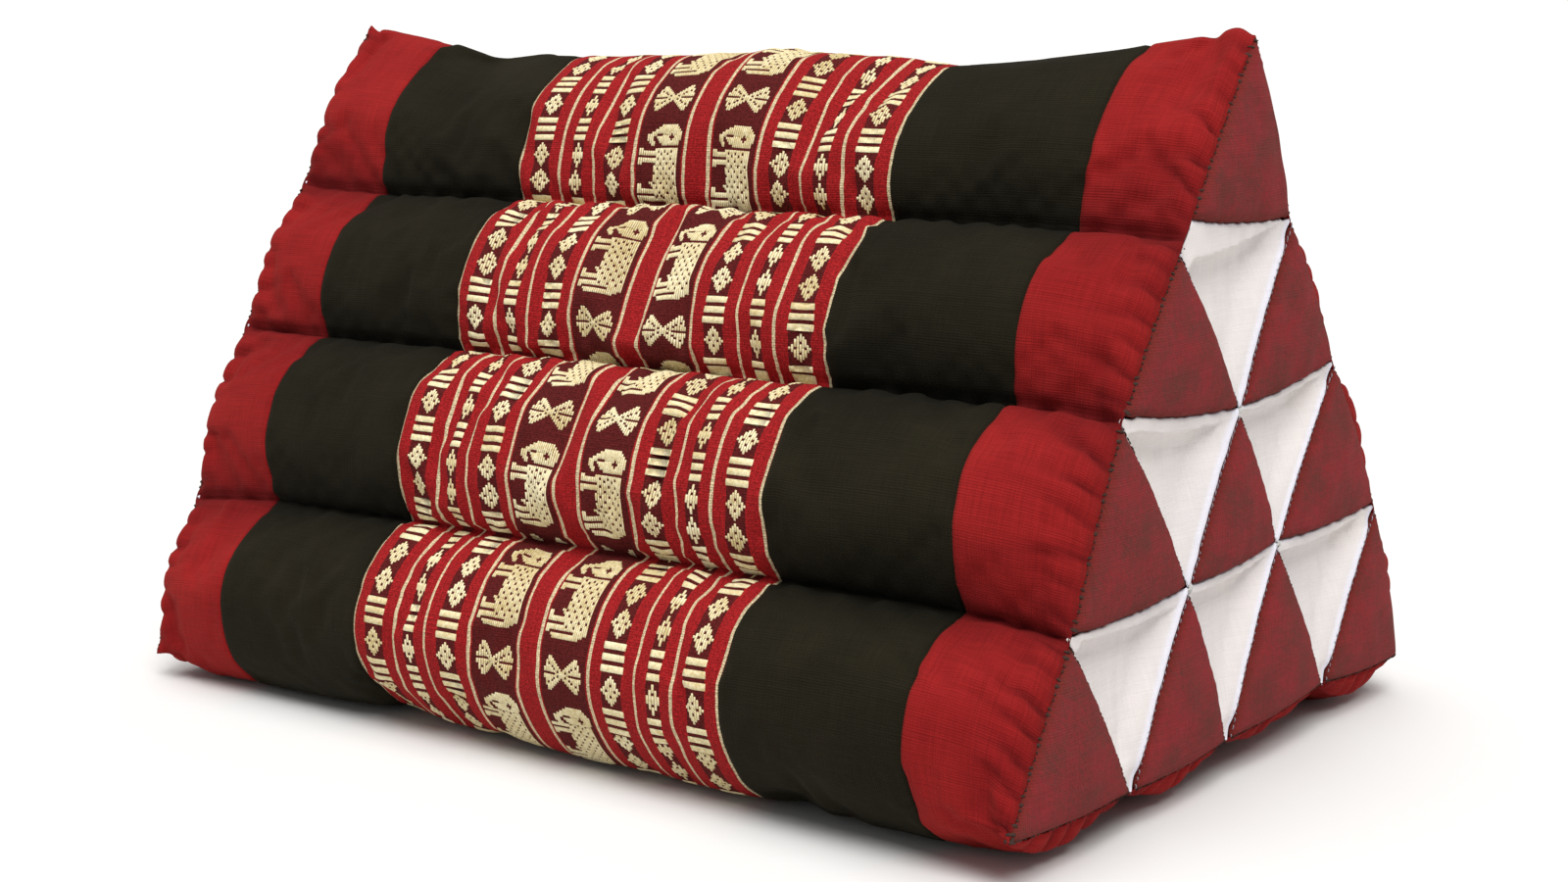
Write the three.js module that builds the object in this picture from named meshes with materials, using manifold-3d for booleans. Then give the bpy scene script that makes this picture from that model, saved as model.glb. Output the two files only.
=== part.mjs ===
// Thai triangle cushion: ten stuffed triangular tubes stacked 1-2-3-4 inside one pieced cotton cover.
// Millimetres, +Z up. X runs along the tubes, the figured slope that is seen faces -Y, z = 0 is the floor.
// Each piece of the cloth is one closed solid, with the stuffing behind it, 0.3 mm from its neighbours.

import * as THREE from "three";
import Module from "manifold-3d";
import { mergeVertices } from "three/addons/utils/BufferGeometryUtils.js";

// Driving dimensions.
const tubeSide = 87;
const tubeRows = 4;
const rowHeight = (tubeSide * Math.sqrt(3)) / 2;
const coverLength = 522;
const halfLength = coverLength / 2;
const baseLift = 18;
const pieceGap = 0.3;

// The cover is pieced from five widths of cloth; each row is one width, from its left seam to its right.
const coverPanels = [
  { name: "cover_red_left", cloth: "redCotton", from: -halfLength, to: -201.5 },
  { name: "cover_black_left", cloth: "blackCotton", from: -201.5, to: -106.5 },
  { name: "cover_pattern", cloth: "figuredCotton", from: -106.5, to: 116 },
  { name: "cover_black_right", cloth: "blackCotton", from: 116, to: 210 },
  { name: "cover_red_right", cloth: "redCotton", from: 210, to: halfLength },
];

// Where the tubes' corners have crept to from the even lattice, at the left end and at the right end.
// Row 0 is the ridge and row 4 the base; column 0 is on the front slope.
const tubeCorners = [
  { row: 0, column: 0, leftY: 2, leftZ: 0, rightY: 9, rightZ: 0 },
  { row: 1, column: 0, leftY: -7, leftZ: -1, rightY: -2, rightZ: -4 },
  { row: 1, column: 1, leftY: 3, leftZ: -3, rightY: 0, rightZ: -5 },
  { row: 2, column: 0, leftY: -8, leftZ: 4, rightY: -7, rightZ: 4 },
  { row: 2, column: 1, leftY: -3, leftZ: 2, rightY: 3, rightZ: -6 },
  { row: 2, column: 2, leftY: 4, leftZ: 2, rightY: 4, rightZ: 2 },
  { row: 3, column: 0, leftY: -3, leftZ: -5, rightY: -2, rightZ: -2 },
  { row: 3, column: 1, leftY: 2, leftZ: -2, rightY: 4, rightZ: 0 },
  { row: 3, column: 2, leftY: 3, leftZ: 1, rightY: -4, rightZ: 4 },
  { row: 3, column: 3, leftY: 5, leftZ: -2, rightY: 7, rightZ: 3 },
  { row: 4, column: 0, leftY: 9, leftZ: -5, rightY: -3, rightZ: 3 },
  { row: 4, column: 1, leftY: -2, leftZ: 1, rightY: 2, rightZ: -1 },
  { row: 4, column: 2, leftY: 3, leftZ: 0, rightY: -4, rightZ: 0 },
  { row: 4, column: 3, leftY: -1, leftZ: -1, rightY: 1, rightZ: 4 },
  { row: 4, column: 4, leftY: -6, leftZ: 0, rightY: -8, rightZ: -1 },
];

// The twelve rolls of the cover between its sewn channels, down the front, along the base and up the
// back. "left" and "right" say how strongly the cloth swells out of the channels towards each end of
// the cushion, "fuller" how much more it does so on the side where the roll starts, and "hold" how long
// it keeps that swell before it rounds in to the end seam.
const rolls = [
  { left: 27, right: 23, fuller: 0, hold: 8 },
  { left: 19, right: 28, fuller: 0, hold: 8 },
  { left: 22, right: 37, fuller: 0.1, hold: 8 },
  { left: 31, right: 40, fuller: 0, hold: 8 },
  { left: 42, right: 46, fuller: 0, hold: 9 },
  { left: 32, right: 34, fuller: 0, hold: 4 },
  { left: 34, right: 32, fuller: 0, hold: 4 },
  { left: 42, right: 42, fuller: 0, hold: 9 },
  { left: 34, right: 36, fuller: 0, hold: 8 },
  { left: 30, right: 34, fuller: -0.1, hold: 8 },
  { left: 26, right: 24, fuller: 0, hold: 8 },
  { left: 26, right: 24, fuller: 0, hold: 8 },
];
const rollSteps = 10;

// How far a roll leans along the slope as it leaves its channel, beside a long edge and elsewhere,
// and the slight swell that is left at the end seams.
const cornerLean = 18;
const middleLean = 6;
const endSwell = 2;

// Where the sections are taken: this far in from an end seam, and about this far apart elsewhere.
const endPlaces = [0, 1.5, 4, 8, 14, 24, 38];
const panelStep = 36;

// The ridge and the two base edges, by the place of their corner on the outline. They are sharp at the
// end seams and round off towards the middle: "drawIn" is how far the edge is pulled in there, "before"
// and "after" how broadly the outline turns on each side of it, "hold" how long it stays that round.
const edgeTurnGrowth = 0.6;
const longEdges = {
  0: { inwards: [0, -1], running: [-1, 0], drawIn: 13, before: 24, after: 24, hold: 2 },
  4: { inwards: [0.87, 0.5], running: [0.5, -0.87], drawIn: 7, before: 26, after: 39, hold: 9 },
  8: { inwards: [-0.87, 0.5], running: [0.5, 0.87], drawIn: 7, before: 39, after: 26, hold: 9 },
};

// The figured cloth stands a little prouder over the ridge than the plain cloth beside it.
const ridgeCrown = 7;
const ridgeCrownPlace = 20;
const ridgeCrownReach = 60;

// End caps of the tubes: how thick the rim is, how far the middle stands out beyond it, and how far
// the free sides bow over the gussets.
const capRim = 1.2;
const capCrown = 3.5;
const capCrownFullness = 0.6;
const capEdgeBow = 2;
const capSteps = 5;

// White gussets between the caps: how deep they are let in, how far their faces fall back at the top
// and at the tip, and how wide the sloping lip along the sides is.
const gussetBody = 16;
const gussetRecess = 10;
const gussetTipRecess = 2;
const gussetLip = 7;
const gussetSteps = 4;

const materials = {
  redCotton: new THREE.MeshStandardMaterial({ color: 0xa0242a, roughness: 0.85, metalness: 0 }),
  blackCotton: new THREE.MeshStandardMaterial({ color: 0x26231d, roughness: 0.88, metalness: 0 }),
  figuredCotton: new THREE.MeshStandardMaterial({ color: 0xb4514a, roughness: 0.85, metalness: 0 }),
  capCotton: new THREE.MeshStandardMaterial({ color: 0x7a2a2e, roughness: 0.88, metalness: 0 }),
  whiteCotton: new THREE.MeshStandardMaterial({ color: 0xe3dddc, roughness: 0.85, metalness: 0 }),
};

const blend = (a, b, share) => a + (b - a) * share;
const blendPoint = (a, b, share) => new THREE.Vector2(blend(a.x, b.x, share), blend(a.y, b.y, share));

// How far a place along the length is from the end seams: 0 there, and sooner near 1 for a larger hold.
function shareInside(x, hold) {
  return 1 - Math.min(Math.abs(x) / halfLength, 1) ** hold;
}

// A corner shared by tubes, as a point of the section at x (its x is the cushion's y, its y the z).
function tubeCorner(row, column, x) {
  const crept = tubeCorners.find((corner) => corner.row === row && corner.column === column);
  const along = (x + halfLength) / coverLength;
  const y = (column - row / 2) * tubeSide + blend(crept.leftY, crept.rightY, along);
  const z = baseLift + (tubeRows - row) * rowHeight + blend(crept.leftZ, crept.rightZ, along);
  return new THREE.Vector2(y, z);
}

// The twelve corners that lie on the outline, in the order of the rolls.
function outlineCorners() {
  const corners = [];
  for (let step = 0; step < tubeRows; step += 1) corners.push([step, 0]);
  for (let step = 0; step < tubeRows; step += 1) corners.push([tubeRows, step]);
  for (let step = 0; step < tubeRows; step += 1) corners.push([tubeRows - step, tubeRows - step]);
  return corners;
}
const outline = outlineCorners();

// The place of one outline corner at x; the long edges are drawn in where they round off.
function outlinePoint(index, x) {
  const [row, column] = outline[index];
  const point = tubeCorner(row, column, x);
  const edge = longEdges[index];
  if (edge) point.addScaledVector(new THREE.Vector2(...edge.inwards), edge.drawIn * shareInside(x, 2));
  if (index === 0) point.y += ridgeCrown * Math.exp(-(((x - ridgeCrownPlace) / ridgeCrownReach) ** 2));
  return point;
}

// One roll of the section at x, as a cubic curve from its first channel or edge to its last.
function rollCurve(index, x) {
  const nextIndex = (index + 1) % rolls.length;
  const from = outlinePoint(index, x);
  const to = outlinePoint(nextIndex, x);
  const chord = to.clone().sub(from);
  const width = chord.length();
  const along = chord.divideScalar(width);
  const outwards = new THREE.Vector2(along.y, -along.x);
  const roll = rolls[index];
  const swell = blend(roll.left, roll.right, (x + halfLength) / coverLength);
  const lean = longEdges[index] || longEdges[nextIndex] ? cornerLean : middleLean;
  const leaving = (side) => {
    const edge = longEdges[side > 0 ? index : nextIndex];
    const flat = along.clone().multiplyScalar((side * width) / 3).addScaledVector(outwards, endSwell);
    if (edge) {
      const turn = side > 0 ? edge.after : -edge.before;
      const round = new THREE.Vector2(...edge.running).multiplyScalar(turn);
      return blendPoint(flat, round, shareInside(x, edge.hold) ** edgeTurnGrowth);
    }
    const full = along.clone().multiplyScalar(side * lean);
    full.addScaledVector(outwards, swell * (1 + side * roll.fuller));
    return blendPoint(flat, full, Math.sqrt(shareInside(x, roll.hold)));
  };
  return new THREE.CubicBezierCurve(from, from.clone().add(leaving(1)), to.clone().add(leaving(-1)), to);
}

// The whole outline of the section at x, flattened where it meets the floor.
function section(x) {
  const points = [];
  for (let index = 0; index < rolls.length; index += 1) {
    const curve = rollCurve(index, x);
    for (let step = 0; step < rollSteps; step += 1) {
      const point = curve.getPoint(step / rollSteps);
      points.push(new THREE.Vector2(point.x, Math.max(point.y, 0)));
    }
  }
  return points;
}

function solidGeometry(vertices, triangles) {
  const geometry = new THREE.BufferGeometry();
  geometry.setAttribute("position", new THREE.Float32BufferAttribute(vertices.flat(), 3));
  geometry.setIndex(triangles.flat());
  geometry.computeVertexNormals();
  return geometry;
}

// A solid carried through the sections at the given places along the length.
function loft(places) {
  const sections = places.map(section);
  const count = sections[0].length;
  const vertices = sections.flatMap((points, row) => points.map((point) => [places[row], point.x, point.y]));
  const triangles = [];
  for (let row = 0; row + 1 < places.length; row += 1) {
    for (let step = 0; step < count; step += 1) {
      const next = (step + 1) % count;
      const here = row * count;
      const there = here + count;
      triangles.push([here + step, here + next, there + next], [here + step, there + next, there + step]);
    }
  }
  const lastRow = (places.length - 1) * count;
  for (const [a, b, c] of THREE.ShapeUtils.triangulateShape(sections[0], [])) triangles.push([c, b, a]);
  for (const [a, b, c] of THREE.ShapeUtils.triangulateShape(sections.at(-1), [])) {
    triangles.push([lastRow + a, lastRow + b, lastRow + c]);
  }
  return solidGeometry(vertices, triangles);
}

// Places along one panel: even in the middle of the cushion, closer where a red panel rounds in.
function panelPlaces(panel) {
  const from = panel.from === -halfLength ? panel.from : panel.from + pieceGap / 2;
  const to = panel.to === halfLength ? panel.to : panel.to - pieceGap / 2;
  if (panel.from === -halfLength) return [...endPlaces.map((step) => from + step), to];
  if (panel.to === halfLength) return [from, ...endPlaces.map((step) => to - step).reverse()];
  const steps = Math.round((to - from) / panelStep);
  return Array.from({ length: steps + 1 }, (_, step) => blend(from, to, step / steps));
}

const wasm = await Module();
wasm.setup();

function toManifold(geometry) {
  const bare = geometry.clone();
  bare.deleteAttribute("normal");
  const merged = mergeVertices(bare);
  const vertProperties = new Float32Array(merged.attributes.position.array);
  const triVerts = new Uint32Array(merged.index.array);
  return new wasm.Manifold(new wasm.Mesh({ numProp: 3, vertProperties, triVerts }));
}

function fromManifold(manifold) {
  const mesh = manifold.getMesh();
  const geometry = new THREE.BufferGeometry();
  geometry.setAttribute("position", new THREE.BufferAttribute(mesh.vertProperties, 3));
  geometry.setIndex(new THREE.BufferAttribute(mesh.triVerts, 1));
  geometry.computeVertexNormals();
  return geometry;
}

// Moves a triangle's three sides inwards by a distance.
function inset(corners, distance) {
  const [a, b, c] = corners;
  const lengths = [b.distanceTo(c), c.distanceTo(a), a.distanceTo(b)];
  const girth = lengths[0] + lengths[1] + lengths[2];
  const doubleArea = Math.abs((b.x - a.x) * (c.y - a.y) - (b.y - a.y) * (c.x - a.x));
  const inRadius = doubleArea / girth;
  const centre = new THREE.Vector2();
  corners.forEach((corner, index) => centre.addScaledVector(corner, lengths[index] / girth));
  return corners.map((corner) => blendPoint(corner, centre, distance / inRadius));
}

// A straight prism between two places along the length, from a triangle of the section.
function prism(corners, from, to) {
  const vertices = [from, to].flatMap((x) => corners.map((corner) => [x, corner.x, corner.y]));
  const triangles = [[2, 1, 0], [3, 4, 5]];
  for (let step = 0; step < 3; step += 1) {
    const next = (step + 1) % 3;
    triangles.push([step, next, next + 3], [step, next + 3, step + 3]);
  }
  return solidGeometry(vertices, triangles);
}

// The upright triangles are the tubes' caps. Corners run top, front base, back base.
function capCells() {
  const cells = [];
  for (let row = 0; row < tubeRows; row += 1) {
    for (let column = 0; column <= row; column += 1) {
      cells.push({ row, column, corners: [[row, column], [row + 1, column], [row + 1, column + 1]] });
    }
  }
  return cells;
}

// The hanging triangles are the gussets. Corners run tip, back top, front top.
function gussetCells() {
  const cells = [];
  for (let row = 1; row < tubeRows; row += 1) {
    for (let column = 0; column < row; column += 1) {
      cells.push({ row, column, corners: [[row + 1, column + 1], [row, column + 1], [row, column]] });
    }
  }
  return cells;
}

const cellCorners = (cell, x) => cell.corners.map(([row, column]) => tubeCorner(row, column, x));

// One panel of the cover; the red end panels are let in behind the gussets.
function coverSolid(panel) {
  const geometry = loft(panelPlaces(panel));
  const end = [panel.from, panel.to].find((x) => Math.abs(x) === halfLength);
  if (end === undefined) return geometry;
  const inner = end - Math.sign(end) * gussetBody;
  const outer = end + Math.sign(end);
  let solid = toManifold(geometry);
  for (const cell of gussetCells()) {
    const corners = inset(cellCorners(cell, end), pieceGap);
    solid = solid.subtract(toManifold(prism(corners, Math.min(inner, outer), Math.max(inner, outer))));
  }
  return fromManifold(solid);
}

// The side of a cap from one corner to the next: the cover's end seam where it is on the outline,
// and otherwise a line that bows a little towards the gusset.
function capSide(first, second, end) {
  const index = outline.findIndex(([row, column], step) => {
    const [nextRow, nextColumn] = outline[(step + 1) % outline.length];
    return row === first[0] && column === first[1] && nextRow === second[0] && nextColumn === second[1];
  });
  if (index >= 0) return rollCurve(index, end);
  const from = tubeCorner(first[0], first[1], end);
  const to = tubeCorner(second[0], second[1], end);
  const chord = to.clone().sub(from).normalize();
  const bow = new THREE.Vector2(chord.y, -chord.x).multiplyScalar(2 * capEdgeBow);
  return new THREE.QuadraticBezierCurve(from, from.clone().lerp(to, 0.5).add(bow), to);
}

// A cap of one tube: a thin three-sided cushion of cloth, crowned outwards over the stuffing.
// A point with three shares of the corners lies on the flat triangle, moved by each side's bow, which
// fades with the cube of its distance from that side.
function capSolid(cell, end) {
  const corners = cellCorners(cell, end);
  const sides = [0, 1, 2].map((step) => capSide(cell.corners[step], cell.corners[(step + 1) % 3], end));
  const outwards = Math.sign(end);
  const centre = corners[0].clone().add(corners[1]).add(corners[2]).divideScalar(3);
  const shrink = 1 - pieceGap / tubeSide;
  const place = (shares) => {
    const point = new THREE.Vector2();
    corners.forEach((corner, step) => point.addScaledVector(corner, shares[step]));
    sides.forEach((side, step) => {
      const pair = shares[step] + shares[(step + 1) % 3];
      if (pair === 0) return;
      const along = shares[(step + 1) % 3] / pair;
      const bow = side.getPoint(along).sub(corners[step].clone().lerp(corners[(step + 1) % 3], along));
      point.addScaledVector(bow, pair ** 3);
    });
    return centre.clone().lerp(point, shrink);
  };
  const vertices = [];
  const order = new Map();
  for (const layer of [0, 1]) {
    for (let i = 0; i <= capSteps; i += 1) {
      for (let j = 0; j <= capSteps - i; j += 1) {
        const shares = [i / capSteps, j / capSteps, (capSteps - i - j) / capSteps];
        const point = place(shares);
        const crown = (27 * shares[0] * shares[1] * shares[2]) ** capCrownFullness;
        order.set(`${layer} ${i} ${j}`, vertices.length);
        const thickness = layer * (capRim + capCrown * crown);
        vertices.push([end + outwards * (pieceGap + thickness), point.x, point.y]);
      }
    }
  }
  const at = (layer, i, j) => order.get(`${layer} ${i} ${j}`);
  const triangles = [];
  const add = (a, b, c) => triangles.push(outwards > 0 ? [a, b, c] : [c, b, a]);
  for (let i = 0; i < capSteps; i += 1) {
    for (let j = 0; j < capSteps - i; j += 1) {
      add(at(1, i + 1, j), at(1, i, j + 1), at(1, i, j));
      add(at(0, i, j), at(0, i, j + 1), at(0, i + 1, j));
      if (i + j < capSteps - 1) {
        add(at(1, i + 1, j), at(1, i + 1, j + 1), at(1, i, j + 1));
        add(at(0, i, j + 1), at(0, i + 1, j + 1), at(0, i + 1, j));
      }
    }
  }
  const last = capSteps;
  for (let step = 0; step < capSteps; step += 1) {
    const rim = [
      [[last - step, step], [last - step - 1, step + 1]],
      [[0, last - step], [0, last - step - 1]],
      [[step, 0], [step + 1, 0]],
    ];
    for (const [first, second] of rim) {
      add(at(0, ...first), at(0, ...second), at(1, ...second));
      add(at(0, ...first), at(1, ...second), at(1, ...first));
    }
  }
  return solidGeometry(vertices, triangles);
}

// A gusset: its three sides are sewn flush to the caps, it falls in steeply behind its top side and
// then comes slowly out again to its tip.
function gussetSolid(cell, end) {
  const corners = inset(cellCorners(cell, end), 2 * pieceGap);
  const [tip, backTop, frontTop] = corners;
  const outwards = Math.sign(end);
  const depthBelowTop = (backTop.y + frontTop.y) / 2 - tip.y;
  const ring = (distance) => {
    const triangle = inset(corners, distance);
    const points = [];
    triangle.forEach((corner, step) => {
      for (let part = 0; part < gussetSteps; part += 1) {
        points.push(corner.clone().lerp(triangle[(step + 1) % 3], part / gussetSteps));
      }
    });
    return points;
  };
  const recess = (point, distance) => {
    const height = THREE.MathUtils.clamp((point.y - tip.y) / depthBelowTop, 0, 1);
    const full = blend(gussetTipRecess, gussetRecess, height);
    return full * Math.sin((Math.min(distance / gussetLip, 1) * Math.PI) / 2);
  };
  const layers = [
    { points: ring(0), depth: () => gussetBody - pieceGap },
    { points: ring(0), depth: (point) => recess(point, 0) },
    { points: ring(gussetLip / 3), depth: (point) => recess(point, gussetLip / 3) },
    { points: ring(gussetLip), depth: (point) => recess(point, gussetLip) },
  ];
  const count = layers[0].points.length;
  const vertices = layers.flatMap(({ points, depth }) =>
    points.map((point) => [end - outwards * depth(point), point.x, point.y]));
  const triangles = [];
  const add = (a, b, c) => triangles.push(outwards > 0 ? [a, b, c] : [c, b, a]);
  for (let layer = 0; layer + 1 < layers.length; layer += 1) {
    for (let step = 0; step < count; step += 1) {
      const next = (step + 1) % count;
      const here = layer * count;
      const there = here + count;
      add(here + step, here + next, there + next);
      add(here + step, there + next, there + step);
    }
  }
  const innermost = layers.at(-1).points;
  const lastRow = (layers.length - 1) * count;
  for (const [a, b, c] of THREE.ShapeUtils.triangulateShape(layers[0].points, [])) add(c, b, a);
  for (const [a, b, c] of THREE.ShapeUtils.triangulateShape(innermost, [])) {
    add(lastRow + a, lastRow + b, lastRow + c);
  }
  return solidGeometry(vertices, triangles);
}

const cushion = new THREE.Group();

function addPiece(name, geometry, material) {
  const mesh = new THREE.Mesh(geometry, material);
  mesh.name = name;
  cushion.add(mesh);
}

for (const panel of coverPanels) addPiece(panel.name, coverSolid(panel), materials[panel.cloth]);

for (const [side, end] of [["left", -halfLength], ["right", halfLength]]) {
  for (const cell of capCells()) {
    const place = `${cell.row + 1}_${cell.column + 1}`;
    addPiece(`cap_${side}_${place}`, capSolid(cell, end), materials.capCotton);
  }
  for (const cell of gussetCells()) {
    const place = `${cell.row}_${cell.column + 1}`;
    addPiece(`gusset_${side}_${place}`, gussetSolid(cell, end), materials.whiteCotton);
  }
}

// The origin is on the floor under the middle of the whole cushion.
const middle = new THREE.Box3().setFromObject(cushion).getCenter(new THREE.Vector3());
for (const mesh of cushion.children) mesh.geometry.translate(-middle.x, -middle.y, 0);

export default cushion;
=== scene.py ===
# Looks of the Thai triangle cushion: ten kapok-stuffed tubes stacked 1-2-3-4 in one pieced cotton cover.
# The frame's axes: x along the tubes, the slope that the camera sees faces -y, z up from the floor.
# Sizes are in millimetres and are turned to metres where a mesh is made.

import math

import bpy
import numpy as np
from mathutils import Matrix, Vector


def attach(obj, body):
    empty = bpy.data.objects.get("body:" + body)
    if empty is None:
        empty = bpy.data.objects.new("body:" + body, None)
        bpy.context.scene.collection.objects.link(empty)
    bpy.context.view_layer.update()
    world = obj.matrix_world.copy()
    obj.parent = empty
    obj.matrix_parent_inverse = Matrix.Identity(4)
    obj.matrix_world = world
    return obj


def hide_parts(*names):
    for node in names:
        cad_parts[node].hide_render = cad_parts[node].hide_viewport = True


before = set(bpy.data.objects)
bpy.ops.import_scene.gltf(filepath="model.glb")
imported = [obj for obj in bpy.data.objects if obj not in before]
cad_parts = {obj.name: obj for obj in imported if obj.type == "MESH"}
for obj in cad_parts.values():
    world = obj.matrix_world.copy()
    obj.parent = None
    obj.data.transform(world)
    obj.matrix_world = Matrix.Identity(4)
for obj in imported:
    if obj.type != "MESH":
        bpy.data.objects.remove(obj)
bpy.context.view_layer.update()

# Camera. It stands at the height of the ridge, off the corner between the front slope and the right end,
# where the photograph was taken from. Its place was fitted to the corners of the end's triangles.
CAMERA_PLACE = (0.76966, -0.95781, 0.35509)
CAMERA_AZIMUTH = 38.061
CAMERA_ELEVATION = 10.693
CAMERA_ROLL = -1.020
CAMERA_LENS = 58.83

azimuth = math.radians(CAMERA_AZIMUTH)
elevation = math.radians(CAMERA_ELEVATION)
roll_angle = math.radians(CAMERA_ROLL)
towards_camera = Vector((
    math.sin(azimuth) * math.cos(elevation),
    -math.cos(azimuth) * math.cos(elevation),
    math.sin(elevation),
))
level_right = Vector((0, 0, 1)).cross(towards_camera).normalized()
level_up = towards_camera.cross(level_right)
camera_right = level_right * math.cos(roll_angle) + level_up * math.sin(roll_angle)
camera_up = level_up * math.cos(roll_angle) - level_right * math.sin(roll_angle)
camera = bpy.data.objects.new("camera", bpy.data.cameras.new("camera"))
camera.data.sensor_width = 36
camera.data.lens = CAMERA_LENS
camera.data.clip_end = 400
camera.matrix_world = (
    Matrix.Translation(CAMERA_PLACE)
    @ Matrix((camera_right, camera_up, towards_camera)).transposed().to_4x4()
)
bpy.context.scene.collection.objects.link(camera)
bpy.context.scene.camera = camera

# Studio. A wide pale matt floor in even white light, with two broad lamps: one high over the corner between
# the front slope and the right end, and one nearly overhead. They throw only soft shadows.
FLOOR_SIZE = 240.0
FLOOR_DROP = 0.0002
FLOOR_COLOUR = "#DEDDDB"
ROOM_LIGHT = 0.34
LAMPS = [
    {"name": "lamp_key", "azimuth": 50, "elevation": 58, "spread": 34, "strength": 2.15},
    {"name": "lamp_above", "azimuth": -30, "elevation": 84, "spread": 50, "strength": 1.75},
]


def colour(code):
    """An sRGB hex colour as linear red, green, blue and full opacity."""
    values = [int(code[k:k + 2], 16) / 255 for k in (1, 3, 5)]
    return (*[v / 12.92 if v <= 0.04045 else ((v + 0.055) / 1.055) ** 2.4 for v in values], 1.0)


def add_node(material, kind, inputs=None, **settings):
    """Adds one shader node. Settings are its own properties; inputs are values or other nodes' outputs, by
    socket."""
    tree = material.node_tree
    node = tree.nodes.new(kind)
    for name, value in settings.items():
        setattr(node, name, value)
    for socket, value in (inputs or {}).items():
        if isinstance(value, bpy.types.NodeSocket):
            tree.links.new(value, node.inputs[socket])
        else:
            node.inputs[socket].default_value = value
    return node


def new_material(name):
    """An empty node material."""
    material = bpy.data.materials.new(name)
    material.use_nodes = True
    material.node_tree.nodes.clear()
    return material


floor_mesh = bpy.data.meshes.new("floor")
half_floor = FLOOR_SIZE / 2
floor_mesh.from_pydata(
    [(x, y, -FLOOR_DROP) for x, y in ((-half_floor, -half_floor), (half_floor, -half_floor),
                                      (half_floor, half_floor), (-half_floor, half_floor))],
    [], [(0, 1, 2, 3)])
floor = bpy.data.objects.new("floor", floor_mesh)
bpy.context.scene.collection.objects.link(floor)
floor_paint = new_material("floor matt white board")
floor_shader = add_node(floor_paint, "ShaderNodeBsdfPrincipled",
                        {"Base Color": colour(FLOOR_COLOUR), "Roughness": 0.9, "Specular IOR Level": 0.1})
add_node(floor_paint, "ShaderNodeOutputMaterial", {"Surface": floor_shader.outputs["BSDF"]})
floor_mesh.materials.append(floor_paint)

room = bpy.data.worlds.new("room")
room.use_nodes = True
room.node_tree.nodes["Background"].inputs["Color"].default_value = (1, 1, 1, 1)
room.node_tree.nodes["Background"].inputs["Strength"].default_value = ROOM_LIGHT
bpy.context.scene.world = room
for lamp in LAMPS:
    light = bpy.data.lights.new(lamp["name"], "SUN")
    light.energy = lamp["strength"]
    light.angle = math.radians(lamp["spread"])
    lamp_object = bpy.data.objects.new(lamp["name"], light)
    turn, height = math.radians(lamp["azimuth"]), math.radians(lamp["elevation"])
    from_lamp = Vector((math.sin(turn) * math.cos(height), -math.cos(turn) * math.cos(height),
                        math.sin(height)))
    lamp_object.matrix_world = from_lamp.to_track_quat("Z", "Y").to_matrix().to_4x4()
    bpy.context.scene.collection.objects.link(lamp_object)
bpy.context.scene.view_settings.view_transform = "Standard"

# Cover, as a whole. Five widths of cotton are joined side by side, wrapped round the stack of tubes and
# sewn down to them along nine channels, so that it stands in twelve rolls, held tight by the stuffing.
TUBE_SIDE = 87.0
TUBE_ROWS = 4
ROW_HEIGHT = TUBE_SIDE * math.sqrt(3) / 2
HALF_LENGTH = 261.0
BASE_LIFT = 18.0
MIDDLE_SHIFT = 3.165

# Where each tube corner (row from the ridge, column from the front) has crept to from the even lattice:
# y and z at the left end, then y and z at the right end.
CREPT = {
    (0, 0): (2, 3, 12, 3.5),
    (1, 0): (-7, -1, -2, -4), (1, 1): (3, -3, 3, -5),
    (2, 0): (-8, 4, -7, 4), (2, 1): (-3, 2, 3, -6), (2, 2): (4, 2, 4, 2),
    (3, 0): (-3, -5, -2, -2), (3, 1): (2, -2, 4, 0), (3, 2): (3, 1, -4, 4), (3, 3): (5, -2, 7, 3),
    (4, 0): (9, -5, -3, 3), (4, 1): (-2, 1, 2, -1), (4, 2): (3, 0, -4, 0), (4, 3): (-1, -1, 1, 4),
    (4, 4): (-6, 0, -8, -1),
}

# The corners on the outline from the ridge down the front, along the base and up the back, and the roll
# that starts at each: its swell at the left and at the right end, and how long it keeps it.
OUTLINE = [(0, 0), (1, 0), (2, 0), (3, 0), (4, 0), (4, 1), (4, 2), (4, 3), (4, 4), (3, 3), (2, 2), (1, 1)]
ROLLS = [
    {"left": 27, "right": 23, "fuller": 0, "hold": 8}, {"left": 19, "right": 28, "fuller": 0, "hold": 8},
    {"left": 22, "right": 37, "fuller": 0.1, "hold": 8}, {"left": 31, "right": 40, "fuller": 0, "hold": 8},
    {"left": 42, "right": 46, "fuller": 0, "hold": 3}, {"left": 32, "right": 34, "fuller": 0, "hold": 3},
    {"left": 34, "right": 32, "fuller": 0, "hold": 3}, {"left": 42, "right": 42, "fuller": 0, "hold": 3},
    {"left": 34, "right": 36, "fuller": 0, "hold": 8}, {"left": 30, "right": 34, "fuller": -0.1, "hold": 8},
    {"left": 26, "right": 24, "fuller": 0, "hold": 8}, {"left": 26, "right": 24, "fuller": 0, "hold": 8},
]
CORNER_LEAN = 18
MIDDLE_LEAN = 6
END_SWELL = 2
EDGE_TURN_GROWTH = 0.6
LONG_EDGES = {
    0: {"inwards": (0, -1), "running": (-1, 0), "draw_in": 17, "before": 24, "after": 24, "hold": 2},
    4: {"inwards": (0.87, 0.5), "running": (0.5, -0.87), "draw_in": 10, "before": 26, "after": 39, "hold": 9},
    8: {"inwards": (-0.87, 0.5), "running": (0.5, 0.87), "draw_in": 7, "before": 39, "after": 26, "hold": 9},
}
RIDGE_CROWN, RIDGE_CROWN_PLACE, RIDGE_CROWN_REACH = 9, 15, 58
RIDGE_DIP, RIDGE_DIP_PLACE, RIDGE_DIP_REACH = 4, -160, 40
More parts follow.
